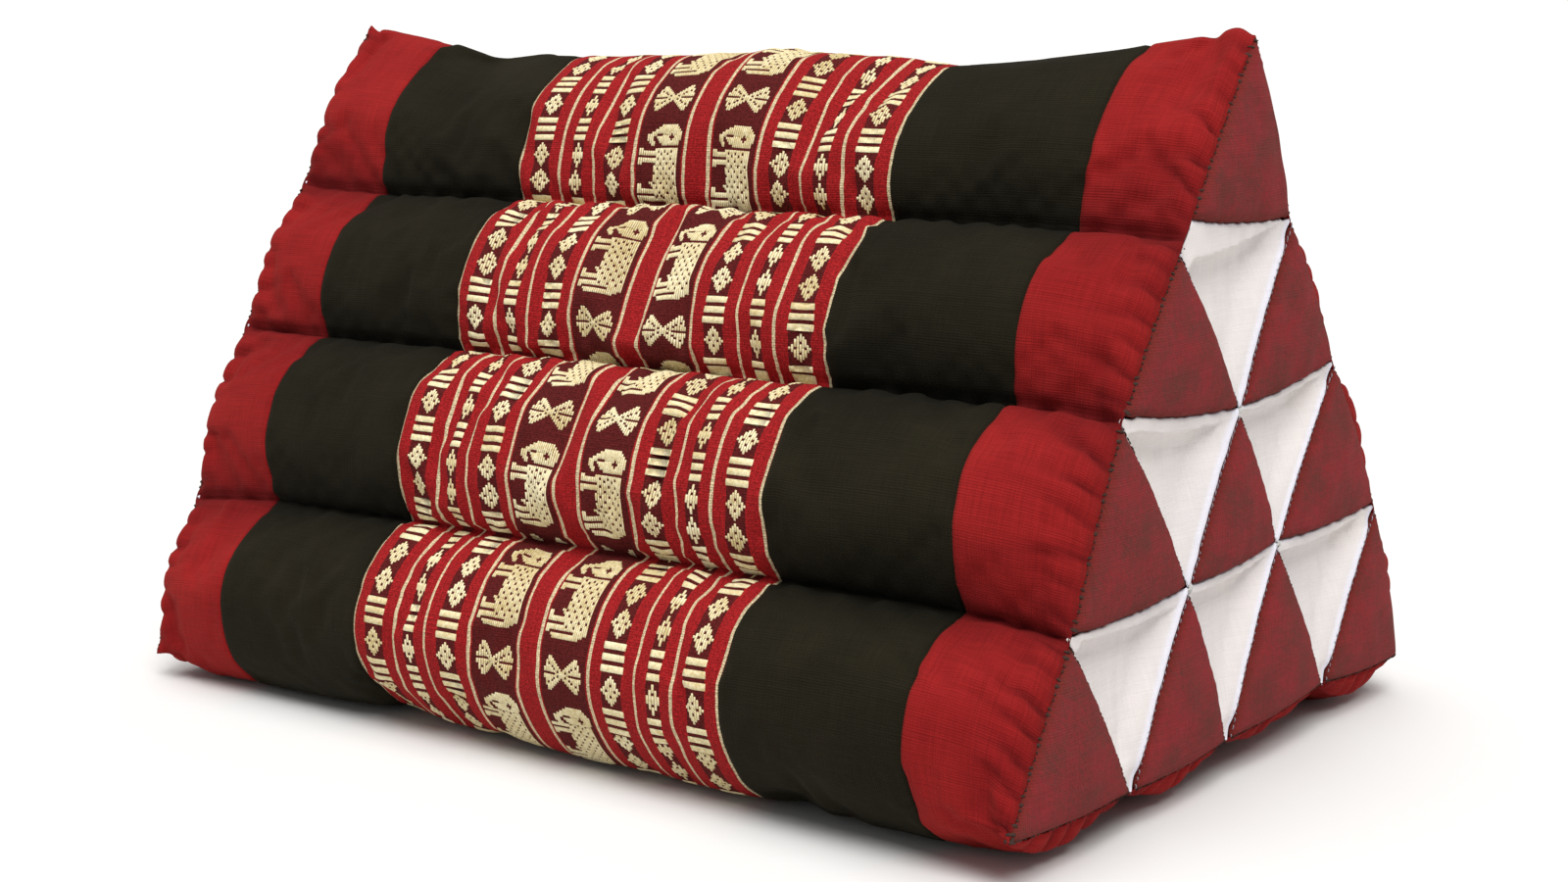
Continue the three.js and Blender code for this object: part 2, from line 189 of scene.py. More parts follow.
RIDGE_END_DROP, RIDGE_END_REACH = 4.0, 5.5
# How far each channel down the front bows up between its ends, by its corner on the outline, at the left and
# at the right; the front roll of the base bows up off the floor with it.
BOWS = {1: (-3, 2.5), 2: (-1, 3), 3: (6, 6), 4: (2, 7)}
BOW_HOLD = 8
FRONT_ROLL, FRONT_CLEARANCE, FRONT_CLEARANCE_HOLD = 4, 3.5, 8

# The cover's cloth is joined at the back base edge, so its columns run from there: up the back, down the
# front and along the base. Each channel swallows some cloth, which shows in how the woven figures go on.
ROLL_ORDER = [8, 9, 10, 11, 0, 1, 2, 3, 4, 5, 6, 7]
SWALLOWED = 12.5
ROLL_STEPS = 42
CURVE_POINTS = 161
CHANNEL_DEPTH = 3.2
CHANNEL_WIDTH = 2.4


def share_inside(x, hold):
    """0 at the end seams, rising to 1 inside: one less the distance from the middle to the power hold."""
    return 1 - np.minimum(np.abs(x) / HALF_LENGTH, 1) ** hold


def blend(left, right, x):
    """A value that goes evenly from left, at the left end seam, to right, at the right end seam."""
    return left + (right - left) * (x + HALF_LENGTH) / (2 * HALF_LENGTH)


def bump(distance, reach):
    """A bell curve: 1 at no distance, falling off over the reach."""
    return np.exp(-(distance / reach) ** 2)


def unit(vectors):
    """Vectors brought to length 1."""
    return vectors / np.linalg.norm(vectors, axis=-1, keepdims=True)


def tube_corner(row, column, x):
    """A corner shared by tubes, as y and z at each x: the even lattice plus the creep."""
    left_y, left_z, right_y, right_z = CREPT[row, column]
    y = (column - row / 2) * TUBE_SIDE + blend(left_y, right_y, x) + MIDDLE_SHIFT
    z = BASE_LIFT + (TUBE_ROWS - row) * ROW_HEIGHT + blend(left_z, right_z, x)
    return np.stack([y, z], -1)


def outline_corner(index, x):
    """A corner on the outline at each x: the long edges are drawn in where they round off, the ridge is
    crowned, dips and ends low, and the front's channels bow."""
    point = tube_corner(*OUTLINE[index], x)
    if index in LONG_EDGES:
        edge = LONG_EDGES[index]
        point = point + share_inside(x, 2)[:, None] * edge["draw_in"] * np.array(edge["inwards"])
    if index == 0:
        point[:, 1] += RIDGE_CROWN * bump(x - RIDGE_CROWN_PLACE, RIDGE_CROWN_REACH)
        point[:, 1] -= RIDGE_DIP * bump(x - RIDGE_DIP_PLACE, RIDGE_DIP_REACH)
        point[:, 1] -= RIDGE_END_DROP * bump(HALF_LENGTH - x, RIDGE_END_REACH)
    if index in BOWS:
        point[:, 1] += blend(*BOWS[index], x) * share_inside(x, BOW_HOLD)
    return point


def floor_level(index, x):
    """How high the cloth under a roll lies: on the floor, or under the front roll a little clear of it."""
    return FRONT_CLEARANCE * share_inside(x, FRONT_CLEARANCE_HOLD) * (index == FRONT_ROLL)


def roll_section(index, x, t):
    """One roll at each x: a cubic curve between its corners, whose handles swell it out of its channels."""
    following = (index + 1) % len(ROLLS)
    first, last = outline_corner(index, x), outline_corner(following, x)
    width = np.linalg.norm(last - first, axis=1)[:, None]
    along = (last - first) / width
    outwards = np.stack([along[:, 1], -along[:, 0]], -1)
    roll = ROLLS[index]
    swell = blend(roll["left"], roll["right"], x)[:, None]
    lean = CORNER_LEAN if index in LONG_EDGES or following in LONG_EDGES else MIDDLE_LEAN

    def handle(side):
        corner = index if side > 0 else following
        flat = along * side * width / 3 + outwards * END_SWELL
        if corner in LONG_EDGES:
            edge = LONG_EDGES[corner]
            full = np.array(edge["running"]) * (edge["after"] if side > 0 else -edge["before"])
            grown = share_inside(x, edge["hold"])[:, None] ** EDGE_TURN_GROWTH
        else:
            full = along * side * lean + outwards * swell * (1 + side * roll["fuller"])
            grown = np.sqrt(share_inside(x, roll["hold"]))[:, None]
        return flat + (full - flat) * grown

    a, b, c, d = (p[:, None, :] for p in (first, first + handle(1), last + handle(-1), last))
    t = t[None, :, None]
    return (1 - t) ** 3 * a + 3 * (1 - t) ** 2 * t * b + 3 * (1 - t) * t ** 2 * c + t ** 3 * d


def at_measure(line, length, want):
    """Places on a line of points at the wanted measures along it, from each point's own measure."""
    return np.stack([np.interp(want, length, part) for part in line.T], -1)


def even_roll(index, x, steps):
    """A roll's points, even along the cloth and flat on the floor, and the width of its cloth at each x."""
    dense = roll_section(index, x, np.linspace(0, 1, CURVE_POINTS))
    dense[..., 1] = np.maximum(dense[..., 1], floor_level(index, x)[:, None])
    pieces = np.linalg.norm(np.diff(dense, axis=1), axis=2)
    length = np.concatenate([np.zeros((len(x), 1)), np.cumsum(pieces, 1)], 1)
    want = np.linspace(0, 1, steps + 1)[:-1]
    even = [at_measure(points, along, want * along[-1]) for along, points in zip(length, dense)]
    return np.array(even), length[:, -1]


def cover_grid(x, steps):
    """The whole cover as rows (places along x) by columns (steps of each roll, in ROLL_ORDER)."""
    section = np.concatenate([even_roll(index, x, steps)[0] for index in ROLL_ORDER], 1)
    return np.concatenate([np.broadcast_to(x[:, None, None], (*section.shape[:2], 1)), section], 2)


def grid_normals(grid):
    """Unit normals of a cover grid: its differences round the girth crossed with those along the rows."""
    around = np.roll(grid, -1, 1) - np.roll(grid, 1, 1)
    along = np.gradient(grid, axis=0)
    normal = np.cross(around, along)
    return normal / np.maximum(np.linalg.norm(normal, axis=2, keepdims=True), 1e-9)


def new_piece(name, vertices, faces, smooth=True):
    """An object at the origin from points in millimetres and faces."""
    mesh = bpy.data.meshes.new(name)
    mesh.from_pydata((np.asarray(vertices).reshape(-1, 3) / 1000).tolist(), [], faces)
    mesh.polygons.foreach_set("use_smooth", np.broadcast_to(smooth, len(faces)).copy())
    piece = bpy.data.objects.new(name, mesh)
    bpy.context.scene.collection.objects.link(piece)
    return piece


def tube_faces(rows, columns):
    """Squares of a tube of rows by columns points whose columns go right round, with its two ends closed."""
    row = np.arange(rows - 1)[:, None]
    column = np.arange(columns)[None, :]
    here, beside = row * columns + column, row * columns + (column + 1) % columns
    faces = np.stack([here, beside, beside + columns, here + columns], -1).reshape(-1, 4).tolist()
    faces.append(list(range(columns))[::-1])
    faces.append(list(range((rows - 1) * columns, rows * columns)))
    return faces


# The stuffing presses the cloth out between the seams that hold it: a cloth simulation on a coarser copy of
# the whole cover, pinned along the channels and the end seams. Its movement is then laid on the fine grid.
RELAX_STEPS = 16
RELAX_ROWS = 80
RELAX_FRAMES = 20
RELAX_FURTHEST = 4.0
RELAX_START_IN, RELAX_START_HOLD = 1.5, 8
RELAX_CLOTH = {
    "quality": 5, "mass": 0.25, "tension_stiffness": 20, "compression_stiffness": 20, "shear_stiffness": 8,
    "bending_stiffness": 0.4, "air_damping": 4, "use_pressure": True, "uniform_pressure_force": 4.0,
    "shrink_min": -0.03,
}


def relaxed_movement():
    """How far each point of the coarse cover moves in the simulation, capped at RELAX_FURTHEST."""
    x = np.linspace(-HALF_LENGTH, HALF_LENGTH, RELAX_ROWS)
    grid = cover_grid(x, RELAX_STEPS)
    share = np.arange(RELAX_STEPS) / RELAX_STEPS
    inside = np.tile(np.sin(np.pi * share), len(ROLLS)) * share_inside(x, RELAX_START_HOLD)[:, None]
    start = grid - grid_normals(grid) * inside[..., None] * RELAX_START_IN
    start[..., 2] = np.maximum(start[..., 2], 0)
    piece = new_piece("cover_relaxing", start, tube_faces(*start.shape[:2]))
    held = np.zeros(start.shape[:2])
    held[[0, -1]] = 1
    held[:, [k * RELAX_STEPS for k, index in enumerate(ROLL_ORDER) if index not in LONG_EDGES]] = 1
    pins = piece.vertex_groups.new(name="sewn")
    pins.add(np.flatnonzero(held.ravel()).tolist(), 1.0, "REPLACE")
    stuffing = piece.modifiers.new("stuffing", "CLOTH")
    for setting, value in RELAX_CLOTH.items():
        setattr(stuffing.settings, setting, value)
    stuffing.settings.vertex_group_mass = pins.name
    stuffing.settings.effector_weights.gravity = 0
    stuffing.collision_settings.use_collision = False
    for step in range(1, RELAX_FRAMES + 1):
        bpy.context.scene.frame_set(step)
    moved = piece.evaluated_get(bpy.context.evaluated_depsgraph_get()).data
    places = np.zeros(start.size)
    moved.vertices.foreach_get("co", places)
    bpy.context.scene.frame_set(1)
    bpy.data.objects.remove(piece)
    movement = places.reshape(start.shape) * 1000 - grid
    distance = np.linalg.norm(movement, axis=2, keepdims=True)
    return x, movement * (np.tanh(distance / RELAX_FURTHEST) * RELAX_FURTHEST / np.maximum(distance, 1e-9))


relax_x, relax_movement = relaxed_movement()


def cubic_shares(coarse, fine):
    """Weights that carry values at even places to other places: the cubic through the four nearest ones."""
    place = np.clip((fine - coarse[0]) / (coarse[1] - coarse[0]), 0, len(coarse) - 1 - 1e-9)
    first = place.astype(int)
    t = place - first
    weights = np.zeros((len(fine), len(coarse)))
    parts = [(-t + 2 * t ** 2 - t ** 3) / 2, (2 - 5 * t ** 2 + 3 * t ** 3) / 2,
             (t + 4 * t ** 2 - 3 * t ** 3) / 2, (-t ** 2 + t ** 3) / 2]
    for step, part in enumerate(parts):
        near = np.clip(first + step - 1, 0, len(coarse) - 1)
        np.add.at(weights, (np.arange(len(fine)), near), part)
    return weights


NOISE_PEAK = 1.5


def wave_noise(x, v, lengths, count, seed):
    """Soft unevenness from about -1 to 1: sine waves that cross the cloth in chance directions, summed."""
    chance = np.random.default_rng(seed)
    total = np.zeros(np.broadcast(x, v).shape)
    for _ in range(count):
        angle, phase = chance.uniform(0, 2 * np.pi, 2)
        length = chance.uniform(*lengths)
        total = total + np.sin(2 * np.pi * (x * np.cos(angle) + v * np.sin(angle)) / length + phase)
    return total / np.sqrt(count) / NOISE_PEAK


GATHER_LEAN = (-0.6, 0.2)
GATHER_NOTCH, GATHER_FADE = 1.5, 1.5


def gathers(distance, v, places, depth, reach, width, seed):
    """Puckers square to a seam: rounded notches of chance depth at places along it, which lean, widen and
    fade with the distance from the seam."""
    chance = np.random.default_rng(seed)
    count = len(places)
    chances = zip(places, chance.uniform(*depth, count), chance.uniform(*reach, count),
                  chance.uniform(*width, count), chance.uniform(*GATHER_LEAN, count))
    total = np.zeros(np.broadcast(distance, v).shape)
    for place, deep, far, wide, lean in chances:
        across = (v - place - lean * distance) / (wide * (1 + distance / far))
        total -= deep * np.exp(-np.abs(across) ** GATHER_NOTCH) * np.exp(-((distance / far) ** GATHER_FADE))
    return total


# The cloth's own measure round the girth: each column's start and end, from 0 on the ridge, growing down the
# front. A channel adds the cloth that it swallows.
MEASURED_AT = 5.0
roll_widths = {index: even_roll(index, np.array([MEASURED_AT]), ROLL_STEPS)[1][0] for index in ROLL_ORDER}
roll_starts = {}
measured = 0.0
for roll_index in ROLL_ORDER:
    measured += 0 if roll_index in LONG_EDGES else SWALLOWED
    roll_starts[roll_index] = measured
    measured += roll_widths[roll_index]
column_share = np.tile(np.arange(ROLL_STEPS) / ROLL_STEPS, len(ROLLS))
column_roll = np.repeat(ROLL_ORDER, ROLL_STEPS)
column_width = np.array([roll_widths[index] for index in column_roll])
column_start = np.array([roll_starts[index] for index in column_roll]) - roll_starts[0]
girth = column_start + column_share * column_width
girth_after = girth + column_width / ROLL_STEPS
FAR_FROM_CHANNEL = 1e3
CREST_FULLNESS = 0.7
start_sewn = np.array([index not in LONG_EDGES for index in column_roll])
end_sewn = np.array([(index + 1) % len(ROLLS) not in LONG_EDGES for index in column_roll])
channel_distance = np.minimum(
    np.where(start_sewn, column_share * column_width, FAR_FROM_CHANNEL),
    np.where(end_sewn, (1 - column_share) * column_width, FAR_FROM_CHANNEL))
# Each column's crest: 1 on the roll and 0 in its channels. It puffs the ends, and the materials paint shade
# where it is low.
crest = np.sin(np.pi / 2 * np.minimum(channel_distance / (column_width / 2), 1)) ** CREST_FULLNESS
# The end seams are tied by this many knots to each roll; the cloth puckers at each and bulges between them.
KNOTS_PER_ROLL = 7
KNOT_SCATTER = 2
END_SCALLOP, END_SCALLOP_REACH = 0.55, 4.5
END_HOLD = 120
END_PUFF, END_PUFF_PLACE, END_PUFF_REACH = 1.0, 10.0, 9.0
# Each mm of pucker depth takes this share from the value "crest": painted shade in the puckers.
FOLD_SHADE = 0.38
TUCK_CORNER, TUCK_SPACING = 4, 5.0
# The widths dip where they are joined. Puckers at the end seams, in the tuck and at these joins have a depth,
# a reach from the seam and a width, each within a range.
JOIN_DIP, JOIN_DIP_WIDTH, JOIN_SPACING = 0.8, 1.2, 14
END_GATHERS = (1.2, 3.4), (8, 22), (1.1, 2.0)
TUCK_GATHERS = (3.5, 4.5), (9, 13), (1.4, 1.8)
JOIN_GATHERS = (0.05, 0.3), (4, 12), (1.6, 3.4)
# The cloth ripples beside the channels, differently on each roll, and swells unevenly all over.
RIPPLE, RIPPLE_LENGTHS, RIPPLE_REACH, RIPPLE_SHIFT = 0.6, (8, 17), 5.5, 41
UNEVEN, UNEVEN_LENGTHS, UNEVEN_FADE = 0.5, (28, 70), 30
knot_shares = (np.arange(KNOTS_PER_ROLL) + 0.5) / KNOTS_PER_ROLL
knot_measures = np.concatenate([roll_starts[index] - roll_starts[0] + knot_shares * roll_widths[index]
                                for index in ROLL_ORDER])
join_fade = np.clip(np.minimum(girth - girth.min(), girth_after.max() - girth) / UNEVEN_FADE, 0, 1)


def cover_panel_grid(x, seams):
    """The cloth of one width at places x: sewn down, pressed out by the stuffing, rippled beside its
    channels, and dipped and puckered along the seams that join it to the next widths or to the end caps.
    Also how far it stands clear of its folds: 1 on the rolls and 0 in the channels, less in the puckers;
    the materials paint shade where it is low."""
    grid = cover_grid(x, ROLL_STEPS)
    wrapped = np.concatenate([relax_movement[:, -2:], relax_movement, relax_movement[:, :3]], 1)
    girth_places = np.arange(len(ROLLS) * ROLL_STEPS) * RELAX_STEPS / ROLL_STEPS
    round_girth = cubic_shares(np.arange(-2.0, len(ROLLS) * RELAX_STEPS + 3), girth_places)
    grid = grid + np.einsum("ri,ijk,cj->rck", cubic_shares(relax_x, x), wrapped, round_girth, optimize=True)
    normal = grid_normals(grid)
    v, xs = girth[None, :], x[:, None]
    lift = -CHANNEL_DEPTH * bump(channel_distance, CHANNEL_WIDTH)[None, :]
    ripple = wave_noise(xs + column_roll * RIPPLE_SHIFT, v * 0, RIPPLE_LENGTHS, 6, 11)
    lift = lift + RIPPLE * ripple * np.exp(-channel_distance / RIPPLE_REACH)[None, :]
    lift = lift + UNEVEN * wave_noise(xs, v, UNEVEN_LENGTHS, 7, 12) * join_fade
    folds = np.zeros_like(lift)
    for seam in seams:
        distance, seed = np.abs(xs - seam), 100 + int(abs(seam))
        if abs(seam) == HALF_LENGTH:
            scatter = np.random.default_rng(seed).uniform(-KNOT_SCATTER, KNOT_SCATTER, len(knot_measures))
            folds = folds + gathers(distance, v, knot_measures + scatter, *END_GATHERS, seed)
            if seam > 0:
                tucks = roll_starts[TUCK_CORNER] - roll_starts[0] + np.array([-TUCK_SPACING, TUCK_SPACING])
                folds = folds + gathers(distance, v, tucks, *TUCK_GATHERS, seed + 1)
        else:
            lift = lift - JOIN_DIP * bump(distance, JOIN_DIP_WIDTH)
            places = np.arange(v.min(), v.max(), JOIN_SPACING)
            places = places + np.random.default_rng(seed).uniform(0, JOIN_SPACING)
            folds = folds + gathers(distance, v, places, *JOIN_GATHERS, seed)
    lift = (lift + folds) * share_inside(xs, END_HOLD)
    from_end = HALF_LENGTH - np.abs(xs)
    scallops = np.cos(2 * np.pi * KNOTS_PER_ROLL * column_share)
    lift = lift + END_SCALLOP * scallops * np.exp(-from_end / END_SCALLOP_REACH)
    lift = lift + END_PUFF * bump(from_end - END_PUFF_PLACE, END_PUFF_REACH) * crest
    grid = grid + normal * lift[..., None]
    grid[..., 2] = np.maximum(grid[..., 2], floor_level(column_roll[None, :], xs))
    return grid, crest * np.clip(1 + folds * FOLD_SHADE, 0, 1)


def mark_cloth(piece, flat, clear):
    """Gives a piece the map "cloth", from flat in millimetres at its face corners, and the value "crest",
    which sets its painted shade.
    """
    piece.data.uv_layers.new(name="cloth").data.foreach_set("uv", (flat / 1000).ravel())
    values = piece.data.attributes.new("crest", "FLOAT", "POINT").data
    values.foreach_set("value", clear.astype(np.float32).ravel())


def cover_piece(name, grid, clear):
    """A closed piece from a cover grid, with the map "cloth" (x and the girth measure) and the value
    "crest", which is how far it stands clear of its folds and sets its painted shade. Both of its end faces
    are flat."""
    rows, columns = grid.shape[:2]
    faces = tube_faces(rows, columns)
    smooth = np.ones(len(faces), bool)
    smooth[-2:] = False
    piece = new_piece(name, grid, faces, smooth)
    xs = grid[..., 0].mean(1)
    corners = np.zeros((rows - 1, columns, 4, 2))
    for corner, (step, measure) in enumerate([(0, girth), (0, girth_after), (1, girth_after), (1, girth)]):
        corners[:, :, corner, 0] = xs[step:rows - 1 + step, None]
        corners[:, :, corner, 1] = measure[None, :]
    flat = np.zeros((len(piece.data.loops), 2))
    flat[:corners.size // 2] = corners.reshape(-1, 2)
    mark_cloth(piece, flat, clear)
    return piece


# Plain hand-loomed cotton: a matt plain weave with uneven thicker threads (slubs) both ways and a light
# fuzz. The eye sees fine streaks along the threads and soft cloudy fading on the rolls; the darker tone in
# the channels and puckers is painted shade.
THREAD_PITCH = 1.1  # real threads are 0.4 mm apart, too fine to show, so they are drawn coarser
SLUB_LENGTH, SLUB_WIDTH, SLUB_RELIEF = 24.0, 0.9, 1.3
CLOUD_SIZE = 60.0
WAVE_TEXTURE_TURN = math.pi / 10


def cloth_places(material):
    """The map "cloth" in millimetres."""
    flat = add_node(material, "ShaderNodeUVMap", uv_map="cloth").outputs["UV"]
    return add_node(material, "ShaderNodeVectorMath", {0: flat, "Scale": 1000.0},
                    operation="SCALE").outputs[0]


def weave_cotton(material, places, tone, roughness, sheen, sheen_tint, strength, streaks=0.13):
    """Finishes a cotton material from its tone: threads and slubs streak it and stand out of it as bump."""
    height = []
    for along_x in (True, False):
        rate = (1 / SLUB_LENGTH, 1 / SLUB_WIDTH, 1) if along_x else (1 / SLUB_WIDTH, 1 / SLUB_LENGTH, 1)
        stretched = add_node(material, "ShaderNodeVectorMath", {0: places, 1: rate},
                             operation="MULTIPLY").outputs[0]
        slub = add_node(material, "ShaderNodeTexNoise", {"Vector": stretched, "Scale": 1.0, "Detail": 2.0})
        thread = add_node(material, "ShaderNodeTexWave",
                          {"Vector": places, "Scale": WAVE_TEXTURE_TURN / THREAD_PITCH, "Distortion": 0.8,
                           "Detail": 1.0, "Detail Scale": 0.4},
                          wave_type="BANDS", bands_direction="Y" if along_x else "X")
        height += [slub.outputs["Fac"], thread.outputs["Fac"]]
    slubs = add_node(material, "ShaderNodeMath", {0: height[0], 1: height[2]}, operation="ADD").outputs[0]
    threads = add_node(material, "ShaderNodeMath", {0: height[1], 1: height[3]},
                       operation="MULTIPLY").outputs[0]
    streak = add_node(material, "ShaderNodeMapRange",
                      {"Value": slubs, "From Min": 0.75, "From Max": 1.25,
                       "To Min": 1 - streaks, "To Max": 1 + streaks}).outputs[0]
    weave = add_node(material, "ShaderNodeMapRange",
                     {"Value": threads, "To Min": 1 - streaks / 2, "To Max": 1 + streaks}).outputs[0]
    both = add_node(material, "ShaderNodeMath", {0: streak, 1: weave}, operation="MULTIPLY").outputs[0]
    streaked = add_node(material, "ShaderNodeVectorMath", {0: tone, "Scale": both},
                        operation="SCALE").outputs[0]
    relief = add_node(material, "ShaderNodeMath", {0: slubs, 1: SLUB_RELIEF, 2: threads},
                      operation="MULTIPLY_ADD").outputs[0]
    raised = add_node(material, "ShaderNodeBump",
                      {"Height": relief, "Strength": strength, "Distance": 0.0006})
    shader = add_node(material, "ShaderNodeBsdfPrincipled", {
        "Base Color": streaked, "Roughness": roughness, "Normal": raised.outputs["Normal"],
        "Specular IOR Level": 0.1, "Sheen Weight": sheen, "Sheen Roughness": 0.45,
        "Sheen Tint": colour(sheen_tint),
    })
    add_node(material, "ShaderNodeOutputMaterial", {"Surface": shader.outputs["BSDF"]})
    return material


def plain_cotton(name, deep, plain, faded, sheen_tint, sheen, roughness=0.9, strength=0.45, streaks=0.13):
    """Plain cotton whose tone goes from deep, painted shade where the value "crest" is low, in the channels
    and puckers, to plain and, in soft clouds, to faded.
    """
    material = new_material(name)
    places = cloth_places(material)
    clouds = add_node(material, "ShaderNodeTexNoise",
                      {"Vector": places, "Scale": 1 / CLOUD_SIZE, "Detail": 4.0})
    on_roll = add_node(material, "ShaderNodeAttribute", attribute_name="crest").outputs["Fac"]
    cloudy = add_node(material, "ShaderNodeMapRange",
                      {"Value": clouds.outputs["Fac"], "From Min": 0.35, "From Max": 0.68}).outputs[0]
    cloudy = add_node(material, "ShaderNodeMath", {0: cloudy, 1: on_roll}, operation="MULTIPLY").outputs[0]
    # Painted shade: the tone darkens to deep where the value "crest" is low, in the channels and puckers.
    base = add_node(material, "ShaderNodeMix", {0: on_roll, 6: colour(deep), 7: colour(plain)},
                    data_type="RGBA").outputs[2]
    tone = add_node(material, "ShaderNodeMix", {0: cloudy, 6: base, 7: colour(faded)},
                    data_type="RGBA").outputs[2]
    return weave_cotton(material, places, tone, roughness, sheen, sheen_tint, strength, streaks)


# Red widths. Two widths of red cotton, one at each end of the cover, turned in round the end caps.
RED_WIDTHS = {"cover_red_left": (-261.0, -201.5), "cover_red_right": (210.0, 261.0)}
RED_SPACING = 1.5
# How far in and how far back each ring of the turned-in cloth lies from the end seam.
TURN_RINGS = ((0.5, 0.0), (1.2, 1.5), (9.0, 17.0))
# The first colour, a deeper red, is painted shade for the channels and puckers.
red_cotton = plain_cotton("red cotton plain woven", "#5E1012", "#831718", "#931F1E", "#CC6450", sheen=0.13)


def turned_in(grid, clear, end):
    """The cloth beyond the end seam: it turns in over the stuffing's rim and runs back inside, unseen."""
    rim = grid[-1] if end > 0 else grid[0]
    middle = rim.mean(0)
    side = math.copysign(1, end)
    rings = []
    for inwards, back in TURN_RINGS:
        pulled = rim + unit(middle - rim) * inwards
        pulled[:, 0] = end - side * back
        rings.append(pulled)
    if end > 0:
        return np.concatenate([grid, rings]), np.pad(clear, ((0, len(rings)), (0, 0)), "edge")
    return np.concatenate([rings[::-1], grid]), np.pad(clear, ((len(rings), 0), (0, 0)), "edge")


def places_between(first, last, spacing):
    """Even places from first to last, about spacing apart."""
    return np.linspace(first, last, int(round((last - first) / spacing)) + 1)


for piece_name, (first, last) in RED_WIDTHS.items():
    red_grid, red_clear = cover_panel_grid(places_between(first, last, RED_SPACING), (first, last))
    red_grid, red_clear = turned_in(red_grid, red_clear, first if first < 0 else last)
    red_piece = cover_piece(piece_name + "_cloth", red_grid, red_clear)
    red_piece.data.materials.append(red_cotton)
    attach(red_piece, "root")
    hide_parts(piece_name)

# Black widths. Two widths of black cotton between the red and the figured widths, a little greenish and
# dusty.
BLACK_WIDTHS = {"cover_black_left": (-201.5, -106.5), "cover_black_right": (116.0, 210.0)}
BLACK_SPACING = 2.4
# The first colour, a deeper black, is painted shade for the channels and puckers.
black_cotton = plain_cotton("black cotton plain woven", "#0B0A05", "#19160C", "#221E13", "#7A7058",
                            sheen=0.07)
for piece_name, (first, last) in BLACK_WIDTHS.items():
    black_panel = cover_panel_grid(places_between(first, last, BLACK_SPACING), (first, last))
    black_piece = cover_piece(piece_name + "_cloth", *black_panel)
    black_piece.data.materials.append(black_cotton)
    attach(black_piece, "root")
    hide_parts(piece_name)

# Figured width. The middle of the cover is a striped red cotton with columns of dark ground, on which cream
# floats draw elephants, bows, diamonds and bars: a traditional banded cloth. Its stripes run round the girth.
FIGURED_WIDTH = (-106.5, 116.0)
FIGURED_MIDDLE = 4.75
FIGURED_SPACING = 2.4
FIGURED_HALF = 112.0
FIGURED_WAVER = 0.7
RED_GROUND, DARK_GROUND, CREAM_LINE = "#951B1D", "#541817", "#CDBB96"
# Each stripe outwards from the middle: its width in mm and its colour.
STRIPES = [
    (5.5, RED_GROUND), (1.6, CREAM_LINE), (1.0, RED_GROUND), (27.0, DARK_GROUND), (1.0, RED_GROUND),
    (1.6, CREAM_LINE), (6.7, RED_GROUND), (11.6, DARK_GROUND), (6.7, RED_GROUND), (1.6, CREAM_LINE),
    (6.0, RED_GROUND), (7.0, DARK_GROUND), (6.0, RED_GROUND), (1.6, CREAM_LINE), (6.7, RED_GROUND),
    (11.6, DARK_GROUND), (6.7, RED_GROUND), (1.6, CREAM_LINE),
]
figured_cotton = new_material("figured cotton striped warp")
figured_places = cloth_places(figured_cotton)
waver = add_node(figured_cotton, "ShaderNodeTexNoise",
                 {"Vector": figured_places, "Scale": 0.12, "Detail": 1.0})
across = add_node(figured_cotton, "ShaderNodeSeparateXYZ", {0: figured_places}).outputs["X"]
across = add_node(figured_cotton, "ShaderNodeMath", {0: waver.outputs["Fac"], 1: FIGURED_WAVER, 2: across},
                  operation="MULTIPLY_ADD").outputs[0]
across = add_node(figured_cotton, "ShaderNodeMath", {0: across, 1: FIGURED_MIDDLE + FIGURED_WAVER / 2},
                  operation="SUBTRACT").outputs[0]
across = add_node(figured_cotton, "ShaderNodeMath", {0: across}, operation="ABSOLUTE").outputs[0]
across = add_node(figured_cotton, "ShaderNodeMath", {0: across, 1: FIGURED_HALF},
                  operation="DIVIDE").outputs[0]
stripes = add_node(figured_cotton, "ShaderNodeValToRGB", {"Fac": across})
stripes.color_ramp.interpolation = "CONSTANT"
edges = np.cumsum([0.0] + [width for width, _ in STRIPES[:-1]]) / FIGURED_HALF
for place, (_, code) in zip(edges[1:-1], STRIPES[1:-1]):
    stripes.color_ramp.elements.new(place).color = colour(code)
stripes.color_ramp.elements[0].color = colour(STRIPES[0][1])
stripes.color_ramp.elements[-1].position = edges[-1]
stripes.color_ramp.elements[-1].color = colour(STRIPES[-1][1])
fleck_noise = add_node(figured_cotton, "ShaderNodeTexNoise",
                       {"Vector": figured_places, "Scale": 0.9, "Detail": 3.0, "Roughness": 0.7})
fleck = add_node(figured_cotton, "ShaderNodeMapRange",
                 {"Value": fleck_noise.outputs["Fac"], "From Min": 0.35, "From Max": 0.65,
                  "To Min": 0.55, "To Max": 1.4}).outputs[0]
flecked = add_node(figured_cotton, "ShaderNodeVectorMath", {0: stripes.outputs["Color"], "Scale": fleck},
                   operation="SCALE").outputs[0]
weave_cotton(figured_cotton, figured_places, flecked, 0.85, 0.06, "#C05A50", 0.5)
figured_x = places_between(*FIGURED_WIDTH, FIGURED_SPACING)
figured_grid, figured_clear = cover_panel_grid(figured_x, FIGURED_WIDTH)
figured_piece = cover_piece("cover_pattern_cloth", figured_grid, figured_clear)
figured_piece.data.materials.append(figured_cotton)
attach(figured_piece, "root")
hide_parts("cover_pattern")

